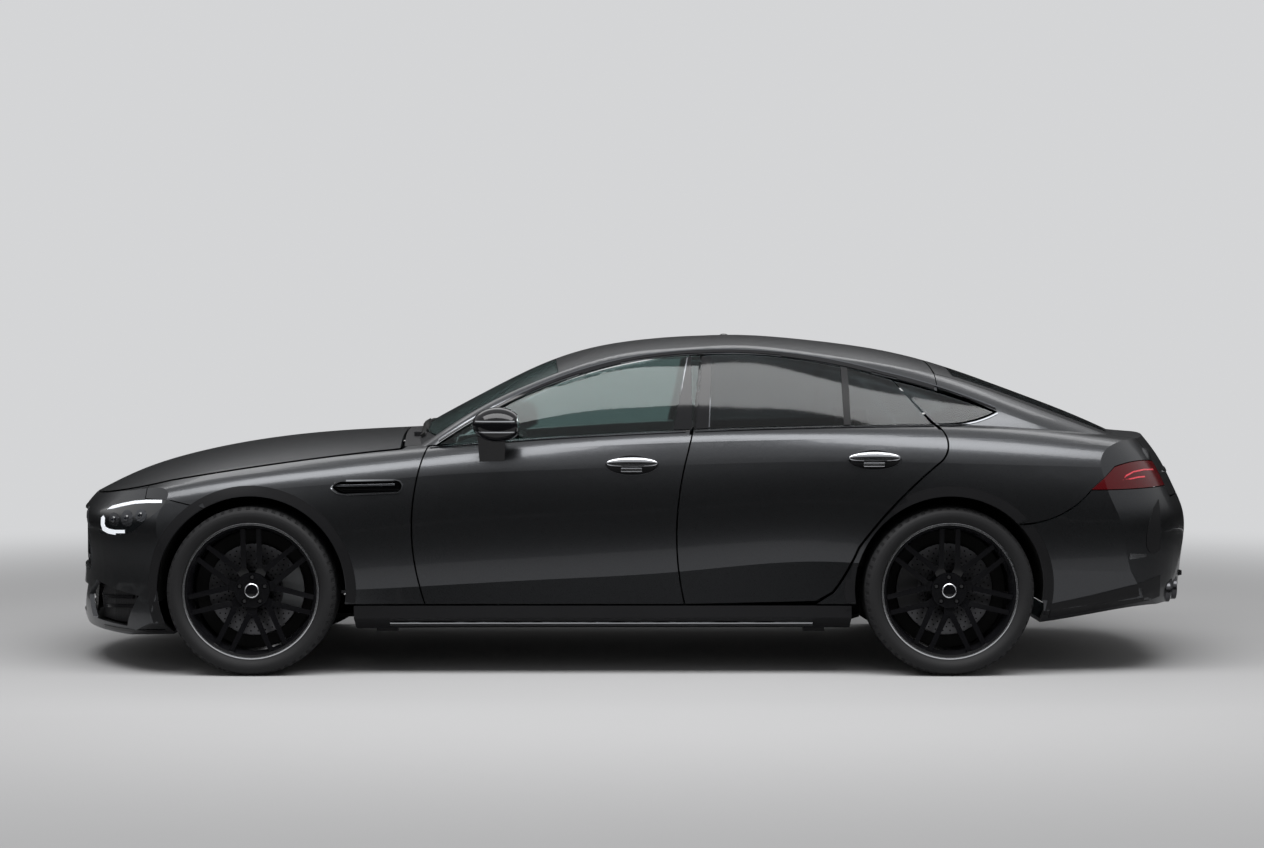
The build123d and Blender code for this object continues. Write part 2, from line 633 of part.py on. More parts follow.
# ---- structure -----------------------------------------------------------------------------
def sill():
    """Left sill with its skirt, between the wheel arches."""
    shape = side_shell(block(-1178, 930, -FAR, -690, 100, SILL_TOP), 130)
    shape = shape - arch_cut(FRONT_AXLE_X, -1) - arch_cut(REAR_AXLE_X, -1)
    for x in JACK_X:
        shape = shape + block(x - 45, x + 45, -JACK_Y - 30, -JACK_Y + 30, JACK_Z, JACK_Z + 25)
    return biggest(shape)


def underbody():
    """Floor pan, bulkhead, tunnel, boot floor and tail beams as one welded structure."""
    floor = plan_prism([(-2300, -400), (-2300, 400), (-1200, 400), (-1120, 688), (880, 688), (STEP_X, 400),
                        (STEP_X, -400), (880, -688), (-1120, -688), (-1200, -400)], FLOOR_LOW, FLOOR_TOP)
    tunnel = block(-960, STEP_X - 10, -130, 130, FLOOR_TOP - 5, 330)
    bulkhead = block(-1000, -962, -688, 688, FLOOR_TOP - 5, 915)
    step = block(STEP_X - 30, STEP_X, -400, 400, FLOOR_LOW, BOOT_Z)
    boot = plan_prism([(STEP_X - 30, -400), (STEP_X - 30, 400), (1745, 400), (1780, 640), (2360, 540),
                       (2360, -540), (1780, -640), (1745, -400)], BOOT_Z - 25, BOOT_Z)
    tail = block(2300, 2335, -455, 455, 372, BOOT_Z - 20)
    for side in (-1, 1):
        y0, y1 = sorted((side * 470, side * 560))
        tail = tail + block(2140, 2200, y0, y1, EXHAUST_Z + 70, BOOT_Z - 20)
    nose = block(-2300, -2265, -400, 400, FLOOR_LOW, 620)
    return biggest(floor + tunnel + bulkhead + step + boot + tail + nose)


def wheel_liner(axle_x):
    """Left wheel housing: an arched wall closed on its inner side."""
    z = WHEEL_Z + ARCH_RISE
    outer = drum(axle_x, z, ARCH_RADIUS + 10, -FAR, -ARCH_INNER + 8)
    inner = drum(axle_x, z, ARCH_RADIUS + 1, -FAR, -ARCH_INNER)
    wall = (outer - inner) & lower_body(SKIN + 6) & block(axle_x - 600, axle_x + 600, -FAR, 0, 310, 1200)
    wall = wall - drum(axle_x, WHEEL_Z, 40, -500, -400)
    return biggest(wall)


# ---- wheels and axles ----------------------------------------------------------------------
def revolved(points, axle_x, y):
    """Ring from an (offset along Y, radius) outline turned about a wheel axis."""
    face = outline_face(points, lambda p: Vector(axle_x, y + p[0], WHEEL_Z + p[1]))
    return Solid.revolve(face, 360, Axis((axle_x, y, WHEEL_Z), (0, 1, 0)))


def tyre(axle_x, y, width):
    """Tyre with rounded shoulders and bulging walls."""
    w = width / 2
    lip = w - RIM_SETBACK
    half = [(-lip + 12, BEAD_RADIUS), (-lip + 12, RIM_RADIUS), (-lip, RIM_RADIUS),
            ((-w, 325), (-w + 16, TYRE_RADIUS - 11)), ((-w + 26, TYRE_RADIUS - 3.5), (-w + 44, TYRE_RADIUS - 1))]
    back = [(w - 44, TYRE_RADIUS - 1), ((w - 26, TYRE_RADIUS - 3.5), (w - 16, TYRE_RADIUS - 11)),
            ((w, 325), (lip, RIM_RADIUS)), (lip - 12, RIM_RADIUS), (lip - 12, BEAD_RADIUS)]
    return revolved([*half, ((0, TYRE_RADIUS), back[0]), *back[1:]], axle_x, y)


def wheel(axle_x, y, width):
    """Left rim with seven forked spokes, hub and brake disc, facing -Y."""
    lip = width / 2 - RIM_SETBACK
    face_y = y - lip
    disc_y = y + DISC_Y
    barrel = revolved([(-lip, RIM_RADIUS), (-lip + 12, RIM_RADIUS), (-lip + 12, BEAD_RADIUS),
                       (lip - 12, BEAD_RADIUS), (lip - 12, RIM_RADIUS), (lip, RIM_RADIUS), (lip, 262),
                       (-lip + 40, 256), (-lip, 270)], axle_x, y)
    hub = drum(axle_x, WHEEL_Z, HUB_RADIUS, face_y + 30, disc_y + 1)
    disc = drum(axle_x, WHEEL_Z, DISC_RADIUS, disc_y, disc_y + DISC_THICK)
    cap = drum(axle_x, WHEEL_Z, CAP_RADIUS, face_y + 24, face_y + 31)
    shape = biggest(barrel.fuse(*spokes(axle_x, face_y), hub))
    shape = shape + disc + cap
    for i in range(BOLT_COUNT):
        angle = math.radians(90 + 360 / BOLT_COUNT * i)
        bx, bz = BOLT_CIRCLE / 2 * math.cos(angle), BOLT_CIRCLE / 2 * math.sin(angle)
        shape = shape - drum(axle_x + bx, WHEEL_Z + bz, 11, face_y + 10, face_y + 46)
    return biggest(shape)


def spokes(axle_x, face_y):
    """Seven legs that each fork into two arms."""
    arms = []
    for i in range(SPOKE_COUNT):
        leg = -90 + 360 / SPOKE_COUNT * i
        arms.append(spoke_arm(axle_x, face_y, LEG, leg, leg))
        for turn in (-SPOKE_SPREAD, SPOKE_SPREAD):
            arms.append(spoke_arm(axle_x, face_y, ARM, leg + 0.3 * turn, leg + turn))
    return arms


def spoke_arm(axle_x, face_y, sizes, inner_angle, outer_angle):
    """Tapered bar of the wheel face, from an inner to an outer (radius, width, set-back)."""
    inner, outer, depth = sizes
    ends = []
    for (radius, width, back), angle in ((inner, inner_angle), (outer, outer_angle)):
        a = math.radians(angle)
        ends.append((Vector(axle_x + radius * math.cos(a), face_y + back, WHEEL_Z + radius * math.sin(a)), width))
    run = ends[1][0] - ends[0][0]
    across = Vector(-run.Z, 0, run.X).normalized()
    wires = []
    for point, width in ends:
        a, b = point + across * (width / 2), point - across * (width / 2)
        rear_a, rear_b = a + Vector(0, depth, 0) - across * 3, b + Vector(0, depth, 0) + across * 3
        wires.append(Wire.make_polygon([a, b, rear_b, rear_a], close=True))
    return Solid.make_loft(wires, ruled=True)


def caliper(axle_x, y, angle):
    """Brake caliper over one side of the disc, in a narrow sector."""
    face = y + DISC_Y
    ring = drum(axle_x, WHEEL_Z, DISC_RADIUS + 22, face - 31, face + DISC_THICK + 42)
    ring = ring - drum(axle_x, WHEEL_Z, DISC_RADIUS - 66, face - 60, face + DISC_THICK + 60)
    ring = ring - drum(axle_x, WHEEL_Z, DISC_RADIUS + 5, face - 6, face + DISC_THICK + 6)
    a0, a1 = math.radians(angle - 27), math.radians(angle + 27)
    wedge = side_prism([(axle_x, WHEEL_Z), (axle_x + 400 * math.cos(a0), WHEEL_Z + 400 * math.sin(a0)),
                        (axle_x + 400 * math.cos(a1), WHEEL_Z + 400 * math.sin(a1))], -FAR, 0)
    return biggest(ring & wedge)


def knuckle():
    """Left front knuckle with its bearing boss, steering arm and caliper."""
    y = -FRONT_TRACK / 2
    inner = y + DISC_Y + DISC_THICK
    boss = drum(FRONT_AXLE_X, WHEEL_Z, 62, inner + 6, inner + 60)
    upright = block(FRONT_AXLE_X - 30, FRONT_AXLE_X + 30, inner + 6, inner + 40, WHEEL_Z - 105, WHEEL_Z + 120)
    arm = block(FRONT_AXLE_X + 20, FRONT_AXLE_X + 205, inner + 14, inner + 46, WHEEL_Z - 30, WHEEL_Z + 30)
    return biggest(boss + upright + arm + caliper(FRONT_AXLE_X, y, 0))


def front_axle():
    """Front crossmember, lower arms up to the ball joints, and the steering rack."""
    beam = block(FRONT_AXLE_X - 60, FRONT_AXLE_X + 60, -400, 400, 205, 262)
    rack = Solid.make_cylinder(26, 1040, Plane((FRONT_AXLE_X + 120, -520, 250), z_dir=(0, 1, 0)))
    carrier = block(FRONT_AXLE_X + 50, FRONT_AXLE_X + 130, -60, 60, 215, 255)
    shape = beam + rack + carrier
    for side in (-1, 1):
        y0, y1 = sorted((side * 398, side * (KINGPIN_Y - 12)))
        arm = block(FRONT_AXLE_X - 28, FRONT_AXLE_X + 28, y0, y1, 205, 232)
        y0, y1 = sorted((side * 700, side * KINGPIN_Y))
        tongue = block(FRONT_AXLE_X - 8, FRONT_AXLE_X + 8, y0, y1, 205, 232)
        stud = Solid.make_cylinder(10, 40, Plane((FRONT_AXLE_X, side * KINGPIN_Y, 205)))
        shape = shape + arm + tongue + stud
    return shape


def rear_axle():
    """Rear crossmember, drive casing, half shafts, carriers and their calipers."""
    y = REAR_TRACK / 2
    shape = block(REAR_AXLE_X - 70, REAR_AXLE_X + 70, -400, 400, 205, 262)
    shape = shape + drum(REAR_AXLE_X, WHEEL_Z, 110, -150, 150)
    shape = shape + block(REAR_AXLE_X - 50, REAR_AXLE_X + 50, -90, 90, 240, 300)
    shaft_end = y - DISC_Y - DISC_THICK - 50
    shape = shape + drum(REAR_AXLE_X, WHEEL_Z, 24, -shaft_end, shaft_end)
    for side in (-1, 1):
        y0, y1 = sorted((side * 310, side * 370))
        shape = shape + block(REAR_AXLE_X - 40, REAR_AXLE_X + 40, y0, y1, 250, BOOT_Z - 25)
    carrier = carrier_solid(y)
    return shape + carrier + mirrored(carrier)


def carrier_solid(y):
    """Left rear hub carrier, its lower arm and caliper."""
    inner = -y + DISC_Y + DISC_THICK
    boss = drum(REAR_AXLE_X, WHEEL_Z, 62, inner + 6, inner + 60)
    upright = block(REAR_AXLE_X - 35, REAR_AXLE_X + 35, inner + 12, inner + 50, WHEEL_Z - 150, WHEEL_Z + 110)
    arm = block(REAR_AXLE_X - 32, REAR_AXLE_X + 32, inner + 12, -398, 206, 236)
    bridge = block(REAR_AXLE_X - 205, REAR_AXLE_X - 20, inner + 14, inner + 46, WHEEL_Z - 30, WHEEL_Z + 30)
    return boss + upright + arm + bridge + caliper(REAR_AXLE_X, -y, 180)


def wheels_and_tyres():
    """The four road wheels, left ones built and right ones mirrored."""
    for axle, axle_x, track, width in (("front", FRONT_AXLE_X, FRONT_TRACK, FRONT_TYRE_WIDTH),
                                       ("rear", REAR_AXLE_X, REAR_TRACK, REAR_TYRE_WIDTH)):
        write_pair(f"tyre_{axle}", tyre(axle_x, -track / 2, width))
        write_pair(f"wheel_{axle}", wheel(axle_x, -track / 2, width))


# ---- inside --------------------------------------------------------------------------------
def seat(y, x, back_x, width):
    """One seat: cushion, leaning back and headrest."""
    half = width / 2
    cushion = side_prism([(x + 70, FLOOR_TOP), (x + 20, 330), (x, 420), ((x + 60, 470), (x + 160, 468)),
                          (back_x, 440), (back_x, FLOOR_TOP)], y - half, y + half)
    back = side_prism([(back_x - 60, 360), (back_x - 30, 480), ((back_x + 20, 760), (back_x + 130, 985)),
                       (back_x + 205, 985), ((back_x + 130, 640), (back_x + 70, 360))], y - half, y + half)
    head = side_prism([(back_x + 120, 970), (back_x + 140, 1120), (back_x + 200, 1130), (back_x + 215, 970)],
                      y - 125, y + 125)
    return biggest(cushion + back + head)


def dashboard():
    """Dashboard with the centre console and a socket for the steering column."""
    dash = side_prism([(-900, 700), (-880, 920), ((-700, 965), (-560, 905)), (-520, 820), (-600, 700)],
                      -690, 690)
    console = side_prism([(-700, 335), (-640, 760), (-560, 760), (-330, 500), (120, 480), (120, 335)],
                         -125, 125)
    plane = steering_plane()
    socket = Solid.make_cylinder(32, 110, Plane(plane.origin - plane.z_dir * 160, z_dir=plane.z_dir))
    return dash + console - socket


def steering_plane():
    """Plane of the steering wheel, facing the driver."""
    return Plane(STEERING_WHEEL, z_dir=(1, 0, 0.42))


def steering_wheel():
    """Steering wheel with three spokes on its column, on the left."""
    plane = steering_plane()
    rim = plane.location * Torus(182, 16)
    hub = Solid.make_cylinder(58, 34, Plane(plane.origin - plane.z_dir * 18, z_dir=plane.z_dir))
    column = Solid.make_cylinder(28, 150, Plane(plane.origin - plane.z_dir * 160, z_dir=plane.z_dir))
    shape = rim + hub + column
    for angle in (-90, 5, 175):
        shape = shape + plane.location * Rot(0, 0, angle) * Pos(110, 0, 0) * Box(150, 34, 12)
    return shape


# ---- build ---------------------------------------------------------------------------------
def main():
    write_pair("fender", front_fender())
    write("bonnet", bonnet())
    write("cowl", cowl())
    write("front_bumper", front_bumper())
    write("grille", *grille())
    write_pair("headlamp", headlamp())
    for name, build in (("front", front_door), ("rear", rear_door)):
        door, pane = build()
        write_pair(f"door_{name}", door)
        write_pair(f"glass_{name}", pane)
    write_pair("mirror", mirror())
    write("windshield", windshield())
    write("roof", roof())
    write_pair("side_frame", *side_frame())
    write("liftgate", liftgate())
    write("backlight", backlight())
    write_pair("quarter", quarter())
    pane = quarter_glass()
    write("quarter_glass", pane, mirrored(pane))
    write_pair("tail_lamp", tail_lamp())
    write("rear_bumper", rear_bumper())
    write("diffuser", diffuser())
    write("exhaust_tips", *exhaust_tips())
    left_sill = sill()
    write("sills", left_sill, mirrored(left_sill))
    write("underbody", underbody())
    liners = [wheel_liner(axle_x) for axle_x in (FRONT_AXLE_X, REAR_AXLE_X)]
    write("wheel_liners", *liners, *[mirrored(liner) for liner in liners])
    wheels_and_tyres()
    write_pair("knuckle", knuckle())
    write("front_axle", front_axle())
    write("rear_axle", rear_axle())
    write("engine", block(-1500, -1040, -310, 310, 285, 830))
    write("dashboard", dashboard())
    write("steering_wheel", steering_wheel())
    write("front_seats", *[seat(y, -330, 130, 490) for y in (-385, 385)])
    write("rear_seats", *[seat(y, 490, 845, 490) for y in (-385, 385)])


if __name__ == "__main__":
    main()
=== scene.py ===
"""Four-door fastback coupe, dressed on its fixed frame: paint, glass, trim, lamps, wheels and cabin."""
import logging
import math
from collections.abc import Callable
from dataclasses import dataclass, field
from enum import Enum

import bmesh
import bpy
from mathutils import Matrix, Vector


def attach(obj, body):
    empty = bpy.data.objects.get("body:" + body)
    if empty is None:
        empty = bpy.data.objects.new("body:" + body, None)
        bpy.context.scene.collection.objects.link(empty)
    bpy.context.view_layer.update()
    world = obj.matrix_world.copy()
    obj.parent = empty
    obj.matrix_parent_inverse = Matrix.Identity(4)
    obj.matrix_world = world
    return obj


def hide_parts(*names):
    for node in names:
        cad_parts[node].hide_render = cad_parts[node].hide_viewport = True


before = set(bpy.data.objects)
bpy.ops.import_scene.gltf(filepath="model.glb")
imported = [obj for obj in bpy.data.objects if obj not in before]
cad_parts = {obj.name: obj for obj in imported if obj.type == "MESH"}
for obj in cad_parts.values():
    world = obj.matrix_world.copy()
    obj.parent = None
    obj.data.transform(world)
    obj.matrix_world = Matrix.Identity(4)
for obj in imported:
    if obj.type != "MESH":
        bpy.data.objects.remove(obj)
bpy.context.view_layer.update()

LOG = logging.getLogger("coupe")

Point = tuple[float, float]
Triple = tuple[float, float, float]
Piece = bpy.types.Object
Socket = bpy.types.NodeSocket
Outputs = bpy.types.bpy_prop_collection
Values = tuple[Socket, Socket]

TURN = 2.0 * math.pi
X_AXIS, Y_AXIS, Z_AXIS = (1.0, 0.0, 0.0), (0.0, 1.0, 0.0), (0.0, 0.0, 1.0)
OUTSIDE_X, OUTSIDE_Y, OUTSIDE_Z = 2.8, -1.25, 1.7
NO_TURN = (0.0, 0.0, 0.0)
ON_AXIS = 0.0005


class Side(Enum):
    """The car's two sides, by the sign of their Y."""

    LEFT = -1
    RIGHT = 1

    @property
    def word(self) -> str:
        """The side's name as it stands in node names."""
        return self.name.lower()


class View(Enum):
    """The plane a flat sheet is drawn in: the axis it is pressed along, and whether toward its plus end."""

    SIDE = ("y", True)
    NOSE = ("x", True)
    TAIL = ("x", False)

    def place(self, point: Point) -> Vector:
        """A drawn point in space, outside the car."""
        across, up = point
        if self is View.SIDE:
            return Vector((across, OUTSIDE_Y, up))
        return Vector((-OUTSIDE_X if self is View.NOSE else OUTSIDE_X, across, up))


class Pattern(Enum):
    """What a finish shows up close."""

    GRAIN = "surface_grain"
    FLAKE = "metal_flake"
    HIDE = "leather_hide"
    REEDED = "reeded_lens"
    MESH = "pressed_mesh"
    DRILLED = "drilled_disc"


class Nodes:
    """Adds nodes to one shader tree and joins them."""

    def __init__(self, tree: bpy.types.NodeTree, keep: bool = False) -> None:
        """Start on a tree.

        Args:
            tree: the node tree to fill.
            keep: True to leave what it holds.
        """
        self.tree = tree
        if not keep:
            tree.nodes.clear()

    def find(self, kind: str) -> bpy.types.Node:
        """The first node of one type."""
        return next(node for node in self.tree.nodes if node.type == kind)

    def add(self, kind: str, inputs: dict | None = None, **settings: object) -> bpy.types.Node:
        """Add one node.

        Args:
            kind: the node's type name, without ShaderNode before it.
            inputs: values or output sockets for its inputs, by name or index.
            **settings: properties of the node.

        Returns:
            The new node.
        """
        node = self.tree.nodes.new(kind if kind.startswith("NodeGroup") else "ShaderNode" + kind)
        for key, value in settings.items():
            setattr(node, key, value)
        for key, value in (inputs or {}).items():
            if isinstance(value, Socket):
                self.tree.links.new(value, node.inputs[key])
            else:
                node.inputs[key].default_value = value
        return node

    def math(self, operation: str, first: object, second: object = 0.0) -> Socket:
        """Join two values by one arithmetic step and return the result's socket."""
        return self.add("Math", {0: first, 1: second}, operation=operation).outputs[0]

    def plus(self, first: object, second: object) -> Socket:
        """The sum of two values."""
        return self.math("ADD", first, second)

    def times(self, first: object, second: object) -> Socket:
        """The product of two values."""
        return self.math("MULTIPLY", first, second)

    def noise(self, place: Socket, scale: object, detail: float) -> Socket:
        """A cloudy noise at a place."""
        return self.add("TexNoise", {"Vector": place, "Scale": scale, "Detail": detail}).outputs[0]


GROUP_INPUTS = {"Color": ("Color", (0.5, 0.5, 0.5, 1.0)), "Spread": ("Float", 0.1), "Scale": ("Float", 50.0),
                "Roughness": ("Float", 0.5), "Bump": ("Float", 0.1), "Centre": ("Vector", (0.0, 0.0, 0.0))}
GROUP_OUTPUTS = {"Color": "Color", "Roughness": "Float", "Normal": "Vector"}
RELIEF = 0.001
ROUGH_SPREAD = 0.3
HOLE_PITCH = 0.017
HOLE_RADIUS = 0.0032
COAT_ROUGHNESS = 0.06


class PatternGroups:
    """Builds each surface pattern's node group once.

    Each pattern's function takes the node maker, the group's given values and the place on the object, and
    returns the pattern's value and its height.
    """

    def __init__(self) -> None:
        """Start with no group built."""
        self.made: dict[Pattern, bpy.types.NodeTree] = {}

    def get(self, pattern: Pattern) -> bpy.types.NodeTree:
        """The node group of one pattern, built on first use."""
        if pattern in self.made:
            return self.made[pattern]
        tree = bpy.data.node_groups.new(pattern.value, "ShaderNodeTree")
        for label, (kind, value) in GROUP_INPUTS.items():
            socket = tree.interface.new_socket(label, in_out="INPUT", socket_type="NodeSocket" + kind)
            socket.default_value = value
        for label, kind in GROUP_OUTPUTS.items():
            tree.interface.new_socket(label, in_out="OUTPUT", socket_type="NodeSocket" + kind)
        nodes = Nodes(tree)
        given, result = nodes.add("NodeGroupInput").outputs, nodes.add("NodeGroupOutput")
        place = nodes.add("TexCoord").outputs["Object"]
        value, height = getattr(self, "_" + pattern.name.lower())(nodes, given, place)
        shade = nodes.plus(nodes.times(nodes.math("SUBTRACT", value, 0.5), given["Spread"]), 1.0)
        colour = nodes.add("HueSaturation", {"Value": shade, "Color": given["Color"]})
        rough = nodes.times(given["Roughness"],
                            nodes.plus(nodes.times(value, ROUGH_SPREAD), 1.0 - 0.5 * ROUGH_SPREAD))
        bump = nodes.add("Bump", {"Strength": given["Bump"], "Distance": RELIEF, "Height": height})
        for label, socket in zip(GROUP_OUTPUTS, (colour.outputs[0], rough, bump.outputs[0])):
            tree.links.new(socket, result.inputs[label])
        self.made[pattern] = tree
        return tree

    @staticmethod
    def _grain(nodes: Nodes, given: Outputs, place: Socket) -> Values:
        """Broad cloudiness over a fine moulded grain."""
        broad, fine = nodes.noise(place, 6.0, 3.0), nodes.noise(place, given["Scale"], 5.0)
        return nodes.plus(nodes.times(broad, 0.5), nodes.times(fine, 0.5)), fine

    @staticmethod
    def _flake(nodes: Nodes, given: Outputs, place: Socket) -> Values:
        """Metal flakes under a clear coat, with faint orange peel."""
        flake = nodes.add("TexVoronoi", {"Vector": place, "Scale": given["Scale"]})
        grey = nodes.add("RGBToBW", {0: flake.outputs["Color"]}).outputs[0]
        return grey, nodes.plus(nodes.noise(place, 60.0, 2.0), nodes.times(grey, 0.25))

    @staticmethod
    def _hide(nodes: Nodes, given: Outputs, place: Socket) -> Values:
        """Pebbled leather with finer creases."""
        pebble = nodes.add("TexVoronoi", {"Vector": place, "Scale": given["Scale"]},
                           feature="DISTANCE_TO_EDGE").outputs[0]
        crease = nodes.noise(place, 40.0, 6.0)
        return crease, nodes.plus(nodes.math("MINIMUM", nodes.times(pebble, 6.0), 1.0), crease)

    @staticmethod
    def _reeded(nodes: Nodes, given: Outputs, place: Socket) -> Values:
        """Fine flutes inside a lamp lens."""
        wave = nodes.add("TexWave", {"Vector": place, "Scale": given["Scale"]}, bands_direction="DIAGONAL")
        return wave.outputs[0], wave.outputs[0]

    @staticmethod
    def _mesh(nodes: Nodes, given: Outputs, place: Socket) -> Values:
        """Cells of a pressed mesh seen from the front."""
        cell = nodes.add("TexVoronoi", {"Vector": place, "Scale": given["Scale"], "Randomness": 0.0},
                         feature="DISTANCE_TO_EDGE")
        rib = nodes.math("LESS_THAN", cell.outputs[0], 0.12)
        return rib, rib

    @staticmethod
    def _drilled(nodes: Nodes, given: Outputs, place: Socket) -> Values:
        """Rows of holes round Centre, each row turned half a step from the last."""
        off = nodes.add("VectorMath", {0: place, 1: given["Centre"]}, operation="SUBTRACT")
        parts = nodes.add("SeparateXYZ", {0: off.outputs[0]})
        x, z = parts.outputs["X"], parts.outputs["Z"]
        radius = nodes.math("SQRT", nodes.plus(nodes.times(x, x), nodes.times(z, z)))
        row = nodes.math("DIVIDE", radius, HOLE_PITCH)
        angle = nodes.times(nodes.math("ARCTAN2", z, x), 1.0 / TURN)
        step = nodes.plus(nodes.times(angle, given["Scale"]), nodes.times(nodes.math("FLOOR", row), 0.5))
        across = nodes.times(nodes.math("SUBTRACT", nodes.math("FRACT", step), 0.5),
                             nodes.math("DIVIDE", nodes.times(radius, TURN), given["Scale"]))
        along = nodes.times(nodes.math("SUBTRACT", nodes.math("FRACT", row), 0.5), HOLE_PITCH)
        reach = nodes.math("SQRT", nodes.plus(nodes.times(across, across), nodes.times(along, along)))
        solid = nodes.math("GREATER_THAN", reach, HOLE_RADIUS)
        return solid, solid


PATTERNS = PatternGroups()


@dataclass(frozen=True)
class Finish:
    """One material of the car."""

    name: str
    colour: Triple
    roughness: float
    metallic: float = 0.0
    coat: float = 0.0
    transmission: float = 0.0
    ior: float = 1.45
    pattern: Pattern = Pattern.GRAIN
    scale: float = 300.0
    spread: float = 0.15
    bump: float = 0.05
    glow: float = 0.0
    centre: Triple = (0.0, 0.0, 0.0)

    def build(self) -> bpy.types.Material:
        """Make the material, or return it if it is made already."""
        found = bpy.data.materials.get(self.name)
        if found:
            return found
        material = bpy.data.materials.new(self.name)
        material.use_nodes = True
        nodes = Nodes(material.node_tree)
        made = nodes.add("Group", {"Color": (*self.colour, 1.0), "Spread": self.spread, "Scale": self.scale,
                                   "Roughness": self.roughness, "Bump": self.bump, "Centre": self.centre},
                         node_tree=PATTERNS.get(self.pattern)).outputs
        shader = nodes.add("BsdfPrincipled", {
            "Base Color": made["Color"], "Roughness": made["Roughness"], "Normal": made["Normal"],
            "Metallic": self.metallic, "IOR": self.ior, "Coat Weight": self.coat,
            "Coat Roughness": COAT_ROUGHNESS, "Transmission Weight": self.transmission})
        if self.glow:
            nodes.tree.links.new(made["Color"], shader.inputs["Emission Color"])
            shader.inputs["Emission Strength"].default_value = self.glow
        nodes.add("OutputMaterial", {"Surface": shader.outputs[0]})
        return material


PAINT = Finish("graphite_paint", (0.062, 0.064, 0.068), 0.31, metallic=0.95, coat=0.3, pattern=Pattern.FLAKE,
               scale=900.0, spread=0.25, bump=0.02)
SATIN_BLACK = Finish("satin_black", (0.008, 0.008, 0.009), 0.5, ior=1.3, bump=0.08)
GLOSS_BLACK = Finish("gloss_black", (0.004, 0.004, 0.005), 0.1, coat=0.2, ior=1.35, spread=0.1, bump=0.01)
SEAL = Finish("rubber_seal", (0.006, 0.006, 0.006), 0.6, ior=1.3, scale=600.0, bump=0.15)
CHROME = Finish("polished_trim", (0.50, 0.51, 0.53), 0.14, metallic=1.0, spread=0.08, bump=0.01)
DARK_CHROME = Finish("dark_chrome", (0.15, 0.155, 0.165), 0.2, metallic=1.0, spread=0.08, bump=0.01)
BRIGHT = Finish("bright_rim_edge", (0.66, 0.67, 0.69), 0.22, metallic=1.0, spread=0.08, bump=0.02)
FRONT_GLASS = Finish("tinted_glass", (0.24, 0.33, 0.32), 0.05, transmission=1.0, ior=1.38,
                     scale=3.0, spread=0.02, bump=0.0)
REAR_GLASS = Finish("privacy_glass", (0.08, 0.10, 0.105), 0.09, transmission=1.0, ior=1.38,
                    scale=3.0, spread=0.02, bump=0.0)
LENS = Finish("lamp_core", (0.006, 0.007, 0.008), 0.1, coat=0.8, spread=0.5, bump=0.02)
LAMP_LIGHT = Finish("lamp_signature", (0.84, 0.87, 0.92), 0.25, spread=0.05, bump=0.02, glow=0.45)
LAMP_BOWL = Finish("lamp_reflector", (0.12, 0.125, 0.135), 0.16, metallic=1.0, pattern=Pattern.REEDED,
                   scale=90.0, bump=0.3)
RED_LENS = Finish("red_lens", (0.075, 0.0015, 0.003), 0.2, coat=0.15, ior=1.35, pattern=Pattern.REEDED,
                  scale=45.0, spread=0.5, bump=0.05, glow=0.08)
RED_LIGHT = Finish("red_guide", (0.62, 0.05, 0.07), 0.2, coat=0.2, spread=0.1, glow=0.22)
RUBBER = Finish("tyre_rubber", (0.018, 0.018, 0.019), 0.66, ior=1.3, scale=420.0, spread=0.4, bump=0.25)
RIM_BLACK = Finish("rim_black", (0.005, 0.005, 0.006), 0.2, coat=0.3, ior=1.35, spread=0.2, bump=0.02)
CALIPER = Finish("caliper_silver", (0.20, 0.205, 0.21), 0.36, metallic=0.8, scale=500.0, bump=0.1)
CAST = Finish("cast_iron", (0.05, 0.05, 0.052), 0.55, metallic=0.8, scale=350.0, spread=0.4, bump=0.4)
HIDE = Finish("black_leather", (0.028, 0.027, 0.027), 0.5, pattern=Pattern.HIDE, scale=420.0, spread=0.3,
              bump=0.35)
DASH = Finish("dash_moulding", (0.022, 0.022, 0.024), 0.55, scale=500.0, spread=0.2, bump=0.25)
SCREEN = Finish("display_glass", (0.008, 0.01, 0.014), 0.08, coat=1.0, spread=0.1, bump=0.0)
UNDER = Finish("floor_coating", (0.008, 0.008, 0.008), 0.8, ior=1.25, scale=180.0, spread=0.5, bump=0.5)
MESH = Finish("black_mesh", (0.010, 0.010, 0.011), 0.45, ior=1.3, pattern=Pattern.MESH, scale=70.0,
              spread=1.2, bump=0.8)
PIPE = Finish("black_pipe", (0.07, 0.07, 0.075), 0.25, metallic=1.0, scale=200.0, spread=0.2)
MIRROR_FACE = Finish("mirror_face", (0.8, 0.82, 0.84), 0.03, metallic=1.0, spread=0.02, bump=0.0)
PLATE = Finish("blank_plate", (0.55, 0.55, 0.53), 0.45, spread=0.06, bump=0.03)
ALLOY = Finish("engine_casting", (0.25, 0.25, 0.26), 0.5, metallic=0.9, scale=120.0, spread=0.4, bump=0.5)


def select_mesh(action: str = "SELECT") -> None:
    """Select or deselect the whole open mesh."""
    bpy.ops.mesh.select_all(action=action)


def set_mode(mode: str) -> None:
    """Switch to EDIT or OBJECT mode."""
    bpy.ops.object.mode_set(mode=mode)


def activate(obj: Piece) -> None:
    """Select one object alone and make it active."""
    bpy.ops.object.select_all(action="DESELECT")
    obj.select_set(True)
    bpy.context.view_layer.objects.active = obj


def primitive(name: str, kind: str, **settings: object) -> Piece:
    """Add one primitive mesh, with its place put into its mesh.

    Args:
        name: the piece's name.
        kind: the primitive's type.
        **settings: its sizes and place.

    Returns:
        The object, at the origin.
    """
    bpy.ops.object.select_all(action="DESELECT")
    getattr(bpy.ops.mesh, f"primitive_{kind}_add")(**settings)
    obj = bpy.context.active_object
    obj.name = obj.data.name = name
    bpy.ops.object.transform_apply(location=True, rotation=True, scale=True)
    return obj


